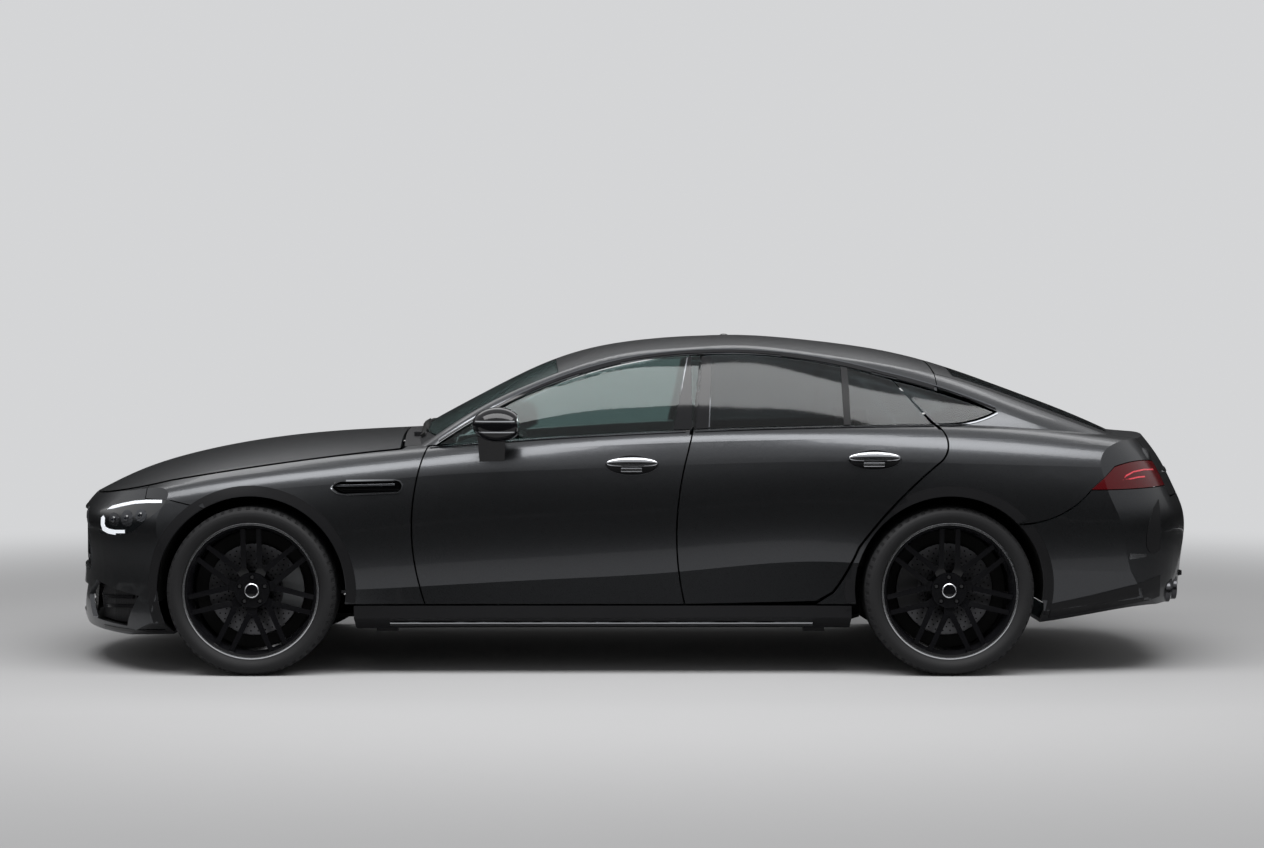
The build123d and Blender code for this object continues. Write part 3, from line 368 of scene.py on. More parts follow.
def apply_modifier(obj: Piece, kind: str, **settings: object) -> None:
    """Add one modifier with these properties and apply it."""
    activate(obj)
    modifier = obj.modifiers.new(kind.lower(), kind)
    for key, value in settings.items():
        setattr(modifier, key, value)
    bpy.ops.object.modifier_apply(modifier=modifier.name)


def edit(obj: Piece) -> None:
    """Open an object in edit mode with everything selected."""
    activate(obj)
    set_mode("EDIT")
    select_mesh()


def close_edit(outward: bool = True) -> None:
    """Merge doubles, turn faces outward if asked, and leave edit mode."""
    select_mesh()
    bpy.ops.mesh.remove_doubles(threshold=1e-5)
    if outward:
        bpy.ops.mesh.normals_make_consistent(inside=False)
    set_mode("OBJECT")


def close_sheet(cuts: int) -> None:
    """Divide an open sheet and leave edit mode."""
    select_mesh()
    bpy.ops.mesh.subdivide(number_cuts=cuts)
    close_edit(outward=False)


def inset_faces(piece: Piece, chosen: Callable[[bpy.types.MeshPolygon], bool], **settings: object) -> None:
    """Inset the faces that are chosen, and stay in edit mode."""
    edit(piece)
    select_mesh("DESELECT")
    bpy.ops.mesh.select_mode(type="FACE")
    set_mode("OBJECT")
    for face in piece.data.polygons:
        face.select = chosen(face)
    set_mode("EDIT")
    bpy.ops.mesh.inset(**settings)
    bpy.ops.mesh.select_mode(type="VERT")


def tip_and_move(piece: Piece, angle: float, centre: Triple) -> None:
    """Turn a piece about Y at the origin, and move it to its place."""
    edit(piece)
    bpy.ops.transform.rotate(value=angle, orient_axis="Y", center_override=(0.0, 0.0, 0.0))
    bpy.ops.transform.translate(value=centre)
    close_edit()


def rounded_box(name: str, centre: Triple, size: Triple, bevel: float, turn: Triple = NO_TURN) -> Piece:
    """A block with rounded edges.

    Args:
        name: the piece's name.
        centre: its middle.
        size: its three sizes.
        bevel: edge radius.
        turn: rotation in radians.

    Returns:
        The piece.
    """
    piece = primitive(name, "cube", size=1.0, location=centre, rotation=turn, scale=size)
    apply_modifier(piece, "BEVEL", width=bevel, segments=3, limit_method="NONE")
    return piece


def seed_vertex(name: str, start: Triple) -> Piece:
    """An open mesh of one selected vertex, left in edit mode."""
    piece = primitive(name, "plane", size=0.01, location=start)
    edit(piece)
    bpy.ops.mesh.merge(type="CENTER")
    return piece


def extrude(step: Triple) -> None:
    """Extrude what is selected by one step."""
    bpy.ops.mesh.extrude_region_move(TRANSFORM_OT_translate={"value": tuple(step)})


def turned(name: str, profile: list[Point], centre: Triple, steps: int = 96, axis: Triple = Y_AXIS,
           closed: bool = True) -> Piece:
    """A ring turned about an axis through centre.

    Args:
        name: the piece's name.
        profile: (distance along the axis, radius) points.
        centre: a point on the axis.
        steps: faces round it.
        axis: the axis, along X, Y or Z.
        closed: True where the profile comes back to its start.

    Returns:
        The piece.
    """
    along, across = Vector(axis), Vector(X_AXIS if axis == Z_AXIS else Z_AXIS)
    points = [Vector(centre) + along * a + across * r for a, r in profile]
    if closed:
        points.append(points[0])
    piece = seed_vertex(name, tuple(points[0]))
    for here, after in zip(points, points[1:]):
        extrude(after - here)
    select_mesh()
    bpy.ops.mesh.spin(steps=steps, angle=TURN, center=centre, axis=axis)
    close_edit()
    return piece


class Skins:
    """Copies of the frame's surfaces that trim is laid on, kept until the end."""

    def __init__(self) -> None:
        """Start with no copy made."""
        self.made: dict[tuple[str, ...], Piece] = {}

    def get(self, *nodes: str) -> Piece:
        """One joined copy of these nodes, made on first use."""
        if nodes not in self.made:
            bpy.ops.object.select_all(action="DESELECT")
            copies = []
            for node in nodes:
                copies.append(bpy.data.objects.new("skin_" + node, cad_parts[node].data.copy()))
                bpy.context.scene.collection.objects.link(copies[-1])
                copies[-1].select_set(True)
            bpy.context.view_layer.objects.active = copies[0]
            if len(copies) > 1:
                bpy.ops.object.join()
            self.made[nodes] = copies[0]
        return self.made[nodes]

    def depth(self, nodes: tuple[str, ...], x: float, z: float) -> float:
        """The Y of the left skin at one place in side view."""
        hit, place, _, _ = self.get(*nodes).ray_cast(Vector((x, OUTSIDE_Y, z)), Vector(Y_AXIS))
        return place.y if hit else math.nan

    def clear(self) -> None:
        """Delete the copies."""
        for skin in self.made.values():
            bpy.data.objects.remove(skin, do_unlink=True)
        self.made.clear()


SKINS = Skins()
SMOOTH = 0.6


def lay_on(piece: Piece, skin: tuple[str, ...], thick: float, axis: str = "y", ahead: bool = True) -> Piece:
    """Press a flat sheet on the frame's skin and give it thickness; what misses the skin is cut away.

    Args:
        piece: a sheet outside the car.
        skin: the frame nodes it lies on.
        thick: its thickness.
        axis: the way it is pressed, x, y or z.
        ahead: True to press toward the axis's positive end.

    Returns:
        The same piece, closed.
    """
    start = getattr(piece.data.vertices[0].co, axis)
    settings = {"wrap_method": "PROJECT", "target": SKINS.get(*skin), "use_positive_direction": ahead,
                "use_negative_direction": not ahead, f"use_project_{axis}": True}
    apply_modifier(piece, "SHRINKWRAP", **settings)
    missed = [v.index for v in piece.data.vertices if abs(getattr(v.co, axis) - start) < 1e-4]
    if missed:
        LOG.info("%s: %d points off the skin were cut away", piece.name, len(missed))
        edit(piece)
        select_mesh("DESELECT")
        set_mode("OBJECT")
        for index in missed:
            piece.data.vertices[index].select = True
        set_mode("EDIT")
        bpy.ops.mesh.delete(type="VERT")
        set_mode("OBJECT")
    outward = Vector(tuple((-1.0 if ahead else 1.0) if name == axis else 0.0 for name in "xyz"))
    total = sum((polygon.normal * polygon.area for polygon in piece.data.polygons), Vector())
    if total.dot(outward) < 0:
        edit(piece)
        bpy.ops.mesh.flip_normals()
        set_mode("OBJECT")
    apply_modifier(piece, "SOLIDIFY", thickness=thick, offset=1.0, use_even_offset=False)
    edit(piece)
    close_edit()
    return piece


def strip(name: str, stations: list[Triple], cuts: int) -> Piece:
    """A flat sheet beside the car's left, through upright stations.

    Args:
        name: the piece's name.
        stations: (x, low z, high z) of each station, in order.
        cuts: how finely each bay is divided.

    Returns:
        The open sheet.
    """
    x, low, high = stations[0]
    piece = seed_vertex(name, (x, OUTSIDE_Y, low))
    extrude((0.0, 0.0, high - low))
    select_mesh()
    for (x0, low0, high0), (x1, low1, high1) in zip(stations, stations[1:]):
        extrude((x1 - x0, 0.0, 0.5 * (low1 + high1 - low0 - high0)))
        stretch = (high1 - low1) / (high0 - low0)
        if abs(stretch - 1.0) > 1e-6:
            bpy.ops.transform.resize(value=(1.0, 1.0, stretch),
                                     center_override=(x1, OUTSIDE_Y, 0.5 * (low1 + high1)))
    close_sheet(cuts)
    return piece


def ribbon(name: str, points: list[Point], width: float, view: View, cuts: int, closed: bool) -> Piece:
    """A flat ribbon of even width along a drawn line, turned with it at each corner.

    Args:
        name: the piece's name.
        points: the line's corners.
        width: its width.
        view: the plane it is drawn in.
        cuts: how finely each bay is divided.
        closed: True where the line comes back to its start.

    Returns:
        The open sheet.
    """
    route = [*points, points[0]] if closed else points
    headings = [math.atan2(b[1] - a[1], b[0] - a[0]) for a, b in zip(route, route[1:])]
    piece = previous = None
    for i, (x, z) in enumerate(route):
        if closed:
            before, after = headings[(i - 1) % len(points)], headings[i % len(points)]
        else:
            before, after = headings[max(i - 1, 0)], headings[min(i, len(headings) - 1)]
        bend = (after - before + math.pi) % TURN - math.pi
        heading = before + 0.5 * bend
        half = 0.5 * width / max(math.cos(0.5 * bend), 0.3)
        offset = (-math.sin(heading) * half, math.cos(heading) * half)
        low, high = view.place((x - offset[0], z - offset[1])), view.place((x + offset[0], z + offset[1]))
        if piece is None:
            piece = seed_vertex(name, tuple(low))
            extrude(high - low)
            select_mesh()
        else:
            extrude(0.5 * (low + high - previous[0] - previous[1]))
            mesh = bmesh.from_edit_mesh(piece.data)
            mesh.verts.ensure_lookup_table()
            ends = sorted((v for v in mesh.verts if v.select), key=lambda v: v.index)
            ends[0].co, ends[1].co = low, high
            bmesh.update_edit_mesh(piece.data)
        previous = (low, high)
    close_sheet(cuts)
    return piece


def band(points: list[Point], width: float) -> list[Triple]:
    """Stations of a strip of even width along a line of (x, z) points."""
    stations = []
    for i, (x, z) in enumerate(points):
        (x0, z0), (x1, z1) = points[max(i - 1, 0)], points[min(i + 1, len(points) - 1)]
        half = 0.5 * width * math.hypot(1.0, (z1 - z0) / (x1 - x0))
        stations.append((x, z - half, z + half))
    return stations


def oval(x: float, z: float, half: float, tall: float, least: float, count: int) -> list[Triple]:
    """Stations of an oval strip round (x, z), whose half height is never under least."""
    turns = [0.5 * math.pi * k / count for k in range(-count, count + 1)]
    rows = [(x + half * math.sin(a), max(tall * math.cos(a), least)) for a in turns]
    return [(u, z - h, z + h) for u, h in rows]


def arc_points(start: Point, through: Point, end: Point, count: int) -> list[Point]:
    """Points along the parabola through three places, evenly spaced in x."""
    (x0, z0), (x1, z1), (x2, z2) = start, through, end
    rows = []
    for i in range(count + 1):
        x = x0 + (x2 - x0) * i / count
        a = z0 * (x - x1) * (x - x2) / ((x0 - x1) * (x0 - x2))
        b = z1 * (x - x0) * (x - x2) / ((x1 - x0) * (x1 - x2))
        c = z2 * (x - x0) * (x - x1) / ((x2 - x0) * (x2 - x1))
        rows.append((x, a + b + c))
    return rows


def finish_piece(piece: Piece, finish: Finish, body: str = "body", smooth: float = SMOOTH) -> None:
    """Give a piece its material and let it ride on its body.

    Args:
        piece: the finished mesh.
        finish: its finish.
        body: the frame body that carries it.
        smooth: the angle under which its edges are smoothed.
    """
    activate(piece)
    bpy.ops.object.shade_smooth_by_angle(angle=smooth)
    piece.data.materials.clear()
    piece.data.materials.append(finish.build())
    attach(piece, body)


def right_copy(piece: Piece, name: str) -> Piece:
    """The mirror image of a left piece, with its own mesh."""
    copy = bpy.data.objects.new(name, piece.data.copy())
    copy.data.name = name
    bpy.context.scene.collection.objects.link(copy)
    copy.scale = (1.0, -1.0, 1.0)
    activate(copy)
    bpy.ops.object.transform_apply(location=False, rotation=False, scale=True)
    edit(copy)
    close_edit()
    return copy


def both_sides(piece: Piece, stem: str, finish: Finish, body: str = "body",
               smooth: float = SMOOTH) -> list[Piece]:
    """Finish a left piece and its mirror image.

    Args:
        piece: the left piece.
        stem: both pieces' name without the side.
        finish: their finish.
        body: the body's name, with {side} where it has one.
        smooth: the angle under which their edges are smoothed.

    Returns:
        The left and the right piece.
    """
    piece.name = f"{stem}_left"
    pair = [piece, right_copy(piece, f"{stem}_right")]
    for obj, side in zip(pair, Side):
        finish_piece(obj, finish, body.format(side=side.word), smooth)
    return pair


@dataclass(frozen=True)
class Trim:
    """Trim drawn flat outside the car and laid on its skin.

    It is drawn by stations (x, low z, high z), or else by a line and its width.
    """

    stem: str
    finish: Finish
    skin: tuple[str, ...]
    thick: float
    stations: list[Triple] = field(default_factory=list)
    line: list[Point] = field(default_factory=list)
    width: float = 0.0
    cuts: int = 2
    view: View = View.SIDE
    closed: bool = False
    body: str = "body"
    paired: bool = True
    bevel: float = 0.0

    def build(self) -> None:
        """Draw it, lay it on, and finish it once or on both sides."""
        if self.stations:
            sheet = strip(self.stem, self.stations, self.cuts)
        else:
            sheet = ribbon(self.stem, self.line, self.width, self.view, self.cuts, self.closed)
        lay_on(sheet, self.skin, self.thick, *self.view.value)
        if self.bevel:
            apply_modifier(sheet, "BEVEL", width=self.bevel, segments=4, limit_method="ANGLE",
                           angle_limit=0.9)
        if self.paired:
            both_sides(sheet, self.stem, self.finish, self.body)
        else:
            finish_piece(sheet, self.finish, self.body)


def dress_nodes(finish: Finish, *nodes: str) -> None:
    """Give frame nodes a finish; {side} stands for both sides."""
    for pattern in nodes:
        for name in sorted({pattern.format(side=side.word) for side in Side}):
            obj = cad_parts[name]
            obj.data.materials.clear()
            obj.data.materials.append(finish.build())


LEFT_SIDE = ("fender_left", "front_bumper", "quarter_left", "rear_bumper", "sills", "side_frame_left")
DOOR_SKINS = {"front": ("door_front_left", "glass_front_left"), "rear": ("door_rear_left", "glass_rear_left")}
FRONT_DOOR, REAR_DOOR = "front_door_{side}", "rear_door_{side}"


@dataclass
class Bodywork:
    """Painted panels, the black panels and what is laid on them."""

    arch_width: float = 0.042
    arch_lift: float = 0.002
    arches: tuple[tuple[str, float, float], ...] = (("front", -1.609, 0.215), ("rear", 1.342, 0.24))
    arch_radius: float = 0.398
    arch_z: float = 0.362
    post_x: Point = (0.185, 0.345)
    post_z: Point = (0.99, 1.335)
    blades: tuple[tuple[Point, Point], ...] = (((-0.90, -0.60), (-0.925, -0.02)),
                                               ((-0.935, 0.02), (-0.885, 0.62)))
    blade_steps: int = 24
    blade_width: float = 0.018
    blade_thick: float = 0.014
    hub_from_blade: Triple = (-0.045, 0.1, 1.012)

    def dress(self) -> None:
        """Finish every body panel of the frame, and blacken the middle posts behind the window line."""
        for finish, nodes in (
                (PAINT, ("fender_{side}", "bonnet", "front_bumper", "door_front_{side}", "door_rear_{side}",
                         "roof", "liftgate", "quarter_{side}", "rear_bumper", "side_frame_{side}")),
                (GLOSS_BLACK, ("mirror_{side}",)), (SATIN_BLACK, ("cowl", "diffuser", "sills")),
                (UNDER, ("underbody", "wheel_liners")), (PIPE, ("exhaust_tips",)),
                (CAST, ("front_axle", "rear_axle")), (CALIPER, ("knuckle_{side}",)), (ALLOY, ("engine",)),
                (DASH, ("dashboard",)), (MESH, ("grille",))):
            dress_nodes(finish, *nodes)
        for side in Side:
            mesh = bpy.data.objects[f"side_frame_{side.word}"].data
            mesh.materials.append(GLOSS_BLACK.build())
            for face in mesh.polygons:
                x, _, z = face.center
                if self.post_x[0] < x < self.post_x[1] and self.post_z[0] < z < self.post_z[1]:
                    face.material_index = len(mesh.materials) - 1

    def arch_lips(self) -> None:
        """A flat lip round each wheel arch, cut off level at its feet."""
        factor = 1.0 + self.arch_width / self.arch_radius
        for axle, x, foot in self.arches:
            centre = (x, OUTSIDE_Y, self.arch_z)
            lip = primitive(f"arch_lip_{axle}", "circle", vertices=144, radius=self.arch_radius + 0.0015,
                            fill_type="NOTHING", location=centre, rotation=(math.pi / 2, 0.0, 0.0))
            edit(lip)
            bpy.ops.mesh.extrude_region_move()
            bpy.ops.transform.resize(value=(factor, 1.0, factor), center_override=centre)
            select_mesh()
            bpy.ops.mesh.bisect(plane_co=(x, OUTSIDE_Y, foot), plane_no=(0.0, 0.0, -1.0), clear_outer=True)
            close_edit(outward=False)
            edit(lip)
            bpy.ops.mesh.subdivide(number_cuts=1)
            set_mode("OBJECT")
            both_sides(lay_on(lip, LEFT_SIDE, self.arch_lift), f"arch_lip_{axle}", SATIN_BLACK)

    def sill_blade(self) -> None:
        """The bright line along each sill."""
        line = [(-1.03 + 0.09 * i, 0.216) for i in range(21)]
        Trim("sill_line", CHROME, ("sills",), 0.010, band(line, 0.018), bevel=0.007).build()

    def roof_aerial(self) -> None:
        """A low button at the back of the roof."""
        profile = [(-0.012, ON_AXIS), (-0.012, 0.022), (0.003, 0.018), (0.007, 0.010), (0.008, ON_AXIS)]
        button = turned("roof_aerial", profile, (0.425, 0.0, 1.4515), 32, Z_AXIS, closed=False)
        finish_piece(button, GLOSS_BLACK)

    def wipers(self) -> None:
        """Two wiper blades with their hubs, lying at the foot of the windscreen."""
        skin = ("cowl", "windshield", "side_frame_left", "side_frame_right")
        profile = [(-0.02, ON_AXIS), (-0.02, 0.016), (0.006, 0.016), (0.012, 0.01), (0.014, ON_AXIS)]
        for i, ((x0, y0), (x1, y1)) in enumerate(self.blades, 1):
            run = Vector((x1 - x0, y1 - y0, 0.0))
            blade = seed_vertex(f"wiper_blade_{i}", (x0, y0, OUTSIDE_Z))
            extrude(Vector((-run.y, run.x, 0.0)).normalized() * self.blade_width)
            select_mesh()
            for _ in range(self.blade_steps):
                extrude(run / self.blade_steps)
            close_edit(outward=False)
            finish_piece(lay_on(blade, skin, self.blade_thick, "z", False), SEAL)
            place = Vector(self.hub_from_blade) + Vector((x0, y0, 0.0))
            hub = turned(f"wiper_hub_{i}", profile, tuple(place), 32, Z_AXIS, closed=False)
            finish_piece(hub, SATIN_BLACK)


@dataclass
class Glazing:
    """Panes, their black surrounds and the bright trim round the side windows."""

    trim_width: float = 0.008
    seal_width: float = 0.015

    def dress(self) -> None:
        """Finish the panes."""
        dress_nodes(FRONT_GLASS, "windshield", "glass_front_{side}")
        dress_nodes(REAR_GLASS, "glass_rear_{side}", "quarter_glass", "backlight")

    def trim(self) -> None:
        """The strips along the belt and over the windows, and the panels on the middle pillar."""
        belt, over = 0.7 * self.trim_width, 0.6 * self.trim_width
        front, rear = DOOR_SKINS["front"], DOOR_SKINS["rear"]
        top = [*arc_points((-0.826, 0.985), (-0.40, 1.218), (0.063, 1.349), 16)[:-1],
               *arc_points((0.063, 1.349), (0.60, 1.365), (1.09, 1.276), 14)[:-1],
               *arc_points((1.09, 1.276), (1.35, 1.203), (1.566, 1.121), 8)]
        frames = ("side_frame_left", "quarter_left")
        rows = (
            Trim("belt_trim_front", DARK_CHROME, front, 0.0035, body=FRONT_DOOR,
                 stations=band(arc_points((-0.862, 0.9605), (-0.30, 1.002), (0.2545, 1.0295), 14), belt)),
            Trim("belt_trim_rear", DARK_CHROME, rear, 0.0035, body=REAR_DOOR,
                 stations=band(arc_points((0.268, 1.030), (0.75, 1.045), (1.286, 1.053), 12), belt)),
            Trim("belt_trim_quarter", DARK_CHROME, ("quarter_left",), 0.0035,
                 band(arc_points((1.30, 1.0575), (1.46, 1.065), (1.572, 1.104), 8), belt)),
            Trim("window_seal", GLOSS_BLACK, frames, 0.003,
                 band([(x, z - 0.003) for x, z in top], self.seal_width)),
            Trim("window_trim", DARK_CHROME, frames, 0.004, band([(x, z + 0.0075) for x, z in top], over)),
            Trim("pillar_panel_front", GLOSS_BLACK, front[1:], 0.003, body=FRONT_DOOR, cuts=9,
                 stations=[(0.179, 1.037, 1.045), (0.241, 1.038, 1.349), (0.2570, 1.040, 1.350)]),
            Trim("pillar_panel_rear", GLOSS_BLACK, rear[1:], 0.003, body=REAR_DOOR, cuts=9,
                 stations=[(0.2645, 1.040, 1.350), (0.329, 1.042, 1.350), (0.344, 1.300, 1.350)]),
            Trim("pillar_line_front", DARK_CHROME, front[1:], 0.0045, width=0.006, cuts=12, body=FRONT_DOOR,
                 line=[(0.181, 1.043), (0.240, 1.343)]),
            Trim("pillar_line_rear", DARK_CHROME, rear[1:], 0.0045, width=0.006, cuts=12, body=REAR_DOOR,
                 line=[(0.3295, 1.046), (0.3445, 1.346)]),
            Trim("window_divider", SATIN_BLACK, rear[1:], 0.005, body=REAR_DOOR, cuts=12,
                 stations=[(0.905, 1.056, 1.302), (0.934, 1.056, 1.297)]))
        for row in rows:
            row.build()


@dataclass
class Handles:
    """Oval pull handles in their pockets."""

    places: tuple[tuple[str, float, float], ...] = (("front", 0.0, 0.888), ("rear", 1.022, 0.912))
    radii: Triple = (0.109, 0.015, 0.026)
    liner: Triple = (0.107, 0.038, 0.004)

    def build(self) -> None:
        """A dark liner, a bright half-oval bar and a lower plate in each pocket."""
        for door, x, z in self.places:
            skin, body = DOOR_SKINS[door][:1], door + "_door_{side}"
            y = SKINS.depth(skin, x + 0.15, z)
            Trim(f"handle_liner_{door}", GLOSS_BLACK, skin, 0.0012, oval(x, z, *self.liner, 8),
                 body=body).build()
            bar = primitive("handle_bar", "uv_sphere", segments=64, ring_count=32, scale=self.radii,
                            location=(x, y + 0.002, z + 0.010))
            edit(bar)
            bpy.ops.mesh.bisect(plane_co=(x, y, z + 0.001), plane_no=(0.0, 0.35, -1.0), clear_outer=True,
                                use_fill=True)
            close_edit()
            apply_modifier(bar, "BEVEL", width=0.002, segments=2, limit_method="ANGLE", angle_limit=0.8)
            both_sides(bar, f"handle_bar_{door}", CHROME, body)
            plate = rounded_box("handle_plate", (x - 0.002, y + 0.004, z - 0.018), (0.090, 0.010, 0.020),
                                0.004)
            both_sides(plate, f"handle_plate_{door}", BRIGHT, body)


@dataclass
class Mirrors:
    """The door mirrors' reflecting face and bright lines."""

    centre: Triple = (-0.566, -0.958, 1.062)
    face_set: float = 0.0845

    def build(self) -> None:
        """Add the reflecting face and the two bright lines."""
        x, y, z = self.centre
        centre = (x + self.face_set, y, z)
        profile = [(0.0, ON_AXIS), (0.0, 0.9), (0.03, 0.98), (0.06, 0.98), (0.09, 0.9), (0.09, ON_AXIS)]
        face = turned("mirror_face", profile, centre, 64, X_AXIS, closed=False)
        edit(face)
        bpy.ops.transform.resize(value=(0.02, 0.048, 0.042), center_override=centre)
        close_edit()
        both_sides(face, "mirror_face", MIRROR_FACE, FRONT_DOOR)
        for i, rise in enumerate((0.014, -0.030), 1):
            Trim(f"mirror_line_{i}", CHROME, ("mirror_left",), 0.002, body=FRONT_DOOR,
                 stations=band([(x - 0.088 + 0.0162 * k, z + rise) for k in range(11)], 0.005)).build()


@dataclass
class SideVents:
    """The vent behind each front wheel: a dark well and a fin in a thin bright outline."""

    outline: tuple[Point, ...] = ((-1.267, 0.796), (-1.251, 0.816), (-1.206, 0.8245), (-1.105, 0.826),
                                  (-1.005, 0.8275), (-0.981, 0.822), (-0.969, 0.806), (-0.974, 0.787),
                                  (-0.988, 0.7735), (-1.10, 0.769), (-1.20, 0.7655), (-1.243, 0.7725),
                                  (-1.262, 0.785))
    ends: Point = (-1.26, -0.98)
    level: float = 0.84

    def build(self) -> None:
        """Lay the outline on the fender, and set the well and the fin in the opening."""
        skin = ("fender_left",)
        Trim("vent_outline", CHROME, skin, 0.003, line=list(self.outline), width=0.0065, cuts=1,
             closed=True).build()
        ahead, behind = (SKINS.depth(skin, x, self.level) for x in self.ends)
        slope = math.atan2(behind - ahead, self.ends[1] - self.ends[0])
        y = 0.5 * (ahead + behind)
        well = rounded_box("vent_well", (-1.118, y + 0.021, 0.797), (0.318, 0.004, 0.066), 0.001,
                           (0.0, 0.0, slope))
        both_sides(well, "vent_well", GLOSS_BLACK)
        fin = rounded_box("vent_fin", (-1.128, y + 0.006, 0.806), (0.256, 0.014, 0.009), 0.003,
                          (0.0, -0.02, slope))
        both_sides(fin, "vent_fin", DARK_CHROME)


@dataclass
class Headlamps:
    """Lamp units in the nose corners."""

    modules: tuple[tuple[float, float, float, float], ...] = ((-2.262, -2.205, 0.618, 0.676),
                                                              (-2.192, -2.128, 0.622, 0.692),
                                                              (-2.116, -2.060, 0.646, 0.700))
    blade: tuple[Point, ...] = ((-2.308, 0.676), (-2.25, 0.697), (-2.19, 0.712), (-2.13, 0.7245),
                                (-2.06, 0.732), (-1.99, 0.735))
    hook: tuple[Point, ...] = ((-2.296, 0.671), (-2.300, 0.648), (-2.300, 0.622), (-2.290, 0.603),
                               (-2.262, 0.595), (-2.222, 0.593), (-2.17, 0.597))

    def build(self) -> None:
        """Finish the lens and lay the light signature and the lamp modules on it."""
        dress_nodes(LENS, "headlamp_{side}")
        skin = ("headlamp_left",)
        Trim("lamp_blade", LAMP_LIGHT, skin, 0.002, line=list(self.blade), width=0.012).build()
        Trim("lamp_hook", LAMP_LIGHT, skin, 0.002, line=list(self.hook), width=0.021).build()
        profile = [(-0.004, ON_AXIS), (-0.006, 0.008), (-0.003, 0.013), (0.004, 0.015)]
        for i, (x0, x1, low, high) in enumerate(self.modules, 1):
            x, z, tall = 0.5 * (x0 + x1), 0.5 * (low + high), 0.5 * (high - low)
            Trim(f"lamp_module_{i}", LAMP_BOWL, skin, 0.0015,
                 oval(x, z, 0.5 * (x1 - x0), tall, 0.25 * tall, 5)).build()
            eye = turned("lamp_eye", profile, (x, SKINS.depth(skin, x, z), z), 32, closed=False)
            both_sides(eye, f"lamp_eye_{i}", SCREEN)


@dataclass
class Nose:
    """Grille and intakes."""

    slat_pitch: float = 0.060
    slats: int = 7
    frame_half: tuple[Point, ...] = ((0.2, 0.678), (0.405, 0.678), (0.455, 0.640), (0.508, 0.600),
                                     (0.495, 0.51), (0.476, 0.414), (0.24, 0.414))

    def build(self) -> None:
        """Add bright slats, the grille frame, and blades in the intakes."""
        grille = ("grille",)
        rows = []
        for i in range(-self.slats, self.slats + 1):
            y = i * self.slat_pitch
            line = [(y, 0.428 + 0.04 * k) for k in range(6)] + [(y, 0.664 if abs(y) < 0.39 else 0.640)]
            rows.append(Trim(f"grille_slat_{i + self.slats + 1}", DARK_CHROME, grille, 0.004, line=line,
                             width=0.012, cuts=1, view=View.NOSE, paired=False))
        mirrored = [(-y, z) for y, z in self.frame_half]
        line = [mirrored[1], mirrored[0], (0.0, 0.678), *self.frame_half, (0.0, 0.414), *mirrored[:1:-1]]
        rows.append(Trim("grille_frame", DARK_CHROME, ("front_bumper",), 0.002, line=line, width=0.012,
                         cuts=3, view=View.NOSE, closed=True, paired=False))
        for i, z in enumerate((0.246, 0.276, 0.306), 1):
            rows.append(Trim(f"intake_blade_{i}", GLOSS_BLACK, grille, 0.006, width=0.010, cuts=1,
                             line=[(-0.40 + 0.1 * k, z) for k in range(9)], view=View.NOSE, paired=False))
        for i, (z, y0, y1) in enumerate(((0.255, 0.54, 0.80), (0.295, 0.52, 0.82)), 1):
            rows.append(Trim(f"side_intake_wing_{i}", GLOSS_BLACK, grille, 0.006, width=0.014, cuts=1,
                             line=[(-y1 + (y1 - y0) * k / 6, z + 0.004 * (6 - k)) for k in range(7)],
                             view=View.NOSE))
        rows.append(Trim("splitter_edge", GLOSS_BLACK, ("front_bumper",), 0.003, cuts=4,
                         stations=[(-2.30, 0.170, 0.182), (-2.2, 0.170, 0.182), (-2.08, 0.172, 0.184),
                                   (-1.99, 0.174, 0.186)]))
        for row in rows:
            row.build()


def dress_tail() -> None:
    """Finish the tail lamps, and add their guides, the side vents, the bar, the plate and the skirt."""
    dress_nodes(RED_LENS, "tail_lamp_{side}")
    lamp, bumper = ("tail_lamp_left",), ("rear_bumper",)
    rows = (
        Trim("tail_guide_upper", RED_LIGHT, lamp, 0.002, width=0.006,
             line=[(2.085, 0.826), (2.10, 0.842), (2.14, 0.857), (2.20, 0.863), (2.26, 0.860)]),
        Trim("tail_guide_lower", RED_LIGHT, lamp, 0.002, width=0.006,
             line=[(2.085, 0.826), (2.12, 0.828), (2.16, 0.833), (2.20, 0.834)]),
        Trim("tail_bar", CHROME, ("liftgate",), 0.004, line=[(-0.56 + 0.08 * k, 0.846) for k in range(15)],
             width=0.014, cuts=1, view=View.TAIL, body="tailgate", paired=False),
        Trim("rear_vent", SATIN_BLACK, bumper, 0.002, cuts=4,
             stations=[(2.190, 0.540, 0.590), (2.205, 0.515, 0.650), (2.230, 0.505, 0.700),
                       (2.265, 0.520, 0.735)]),
        Trim("side_marker", CHROME, bumper, 0.002, cuts=3,
             stations=[(2.105, 0.490, 0.514), (2.15, 0.492, 0.512), (2.19, 0.497, 0.507)]),
        Trim("rear_plate", PLATE, bumper, 0.003, line=[(-0.26 + 0.04 * k, 0.585) for k in range(14)],
             width=0.11, cuts=3, view=View.TAIL, paired=False),
        Trim("rear_skirt", SATIN_BLACK, bumper, 0.003, cuts=4,
             stations=[(1.775, 0.236, 0.30), (1.95, 0.262, 0.335), (2.12, 0.290, 0.375),
                       (2.27, 0.318, 0.41)]))
    for row in rows:
        row.build()


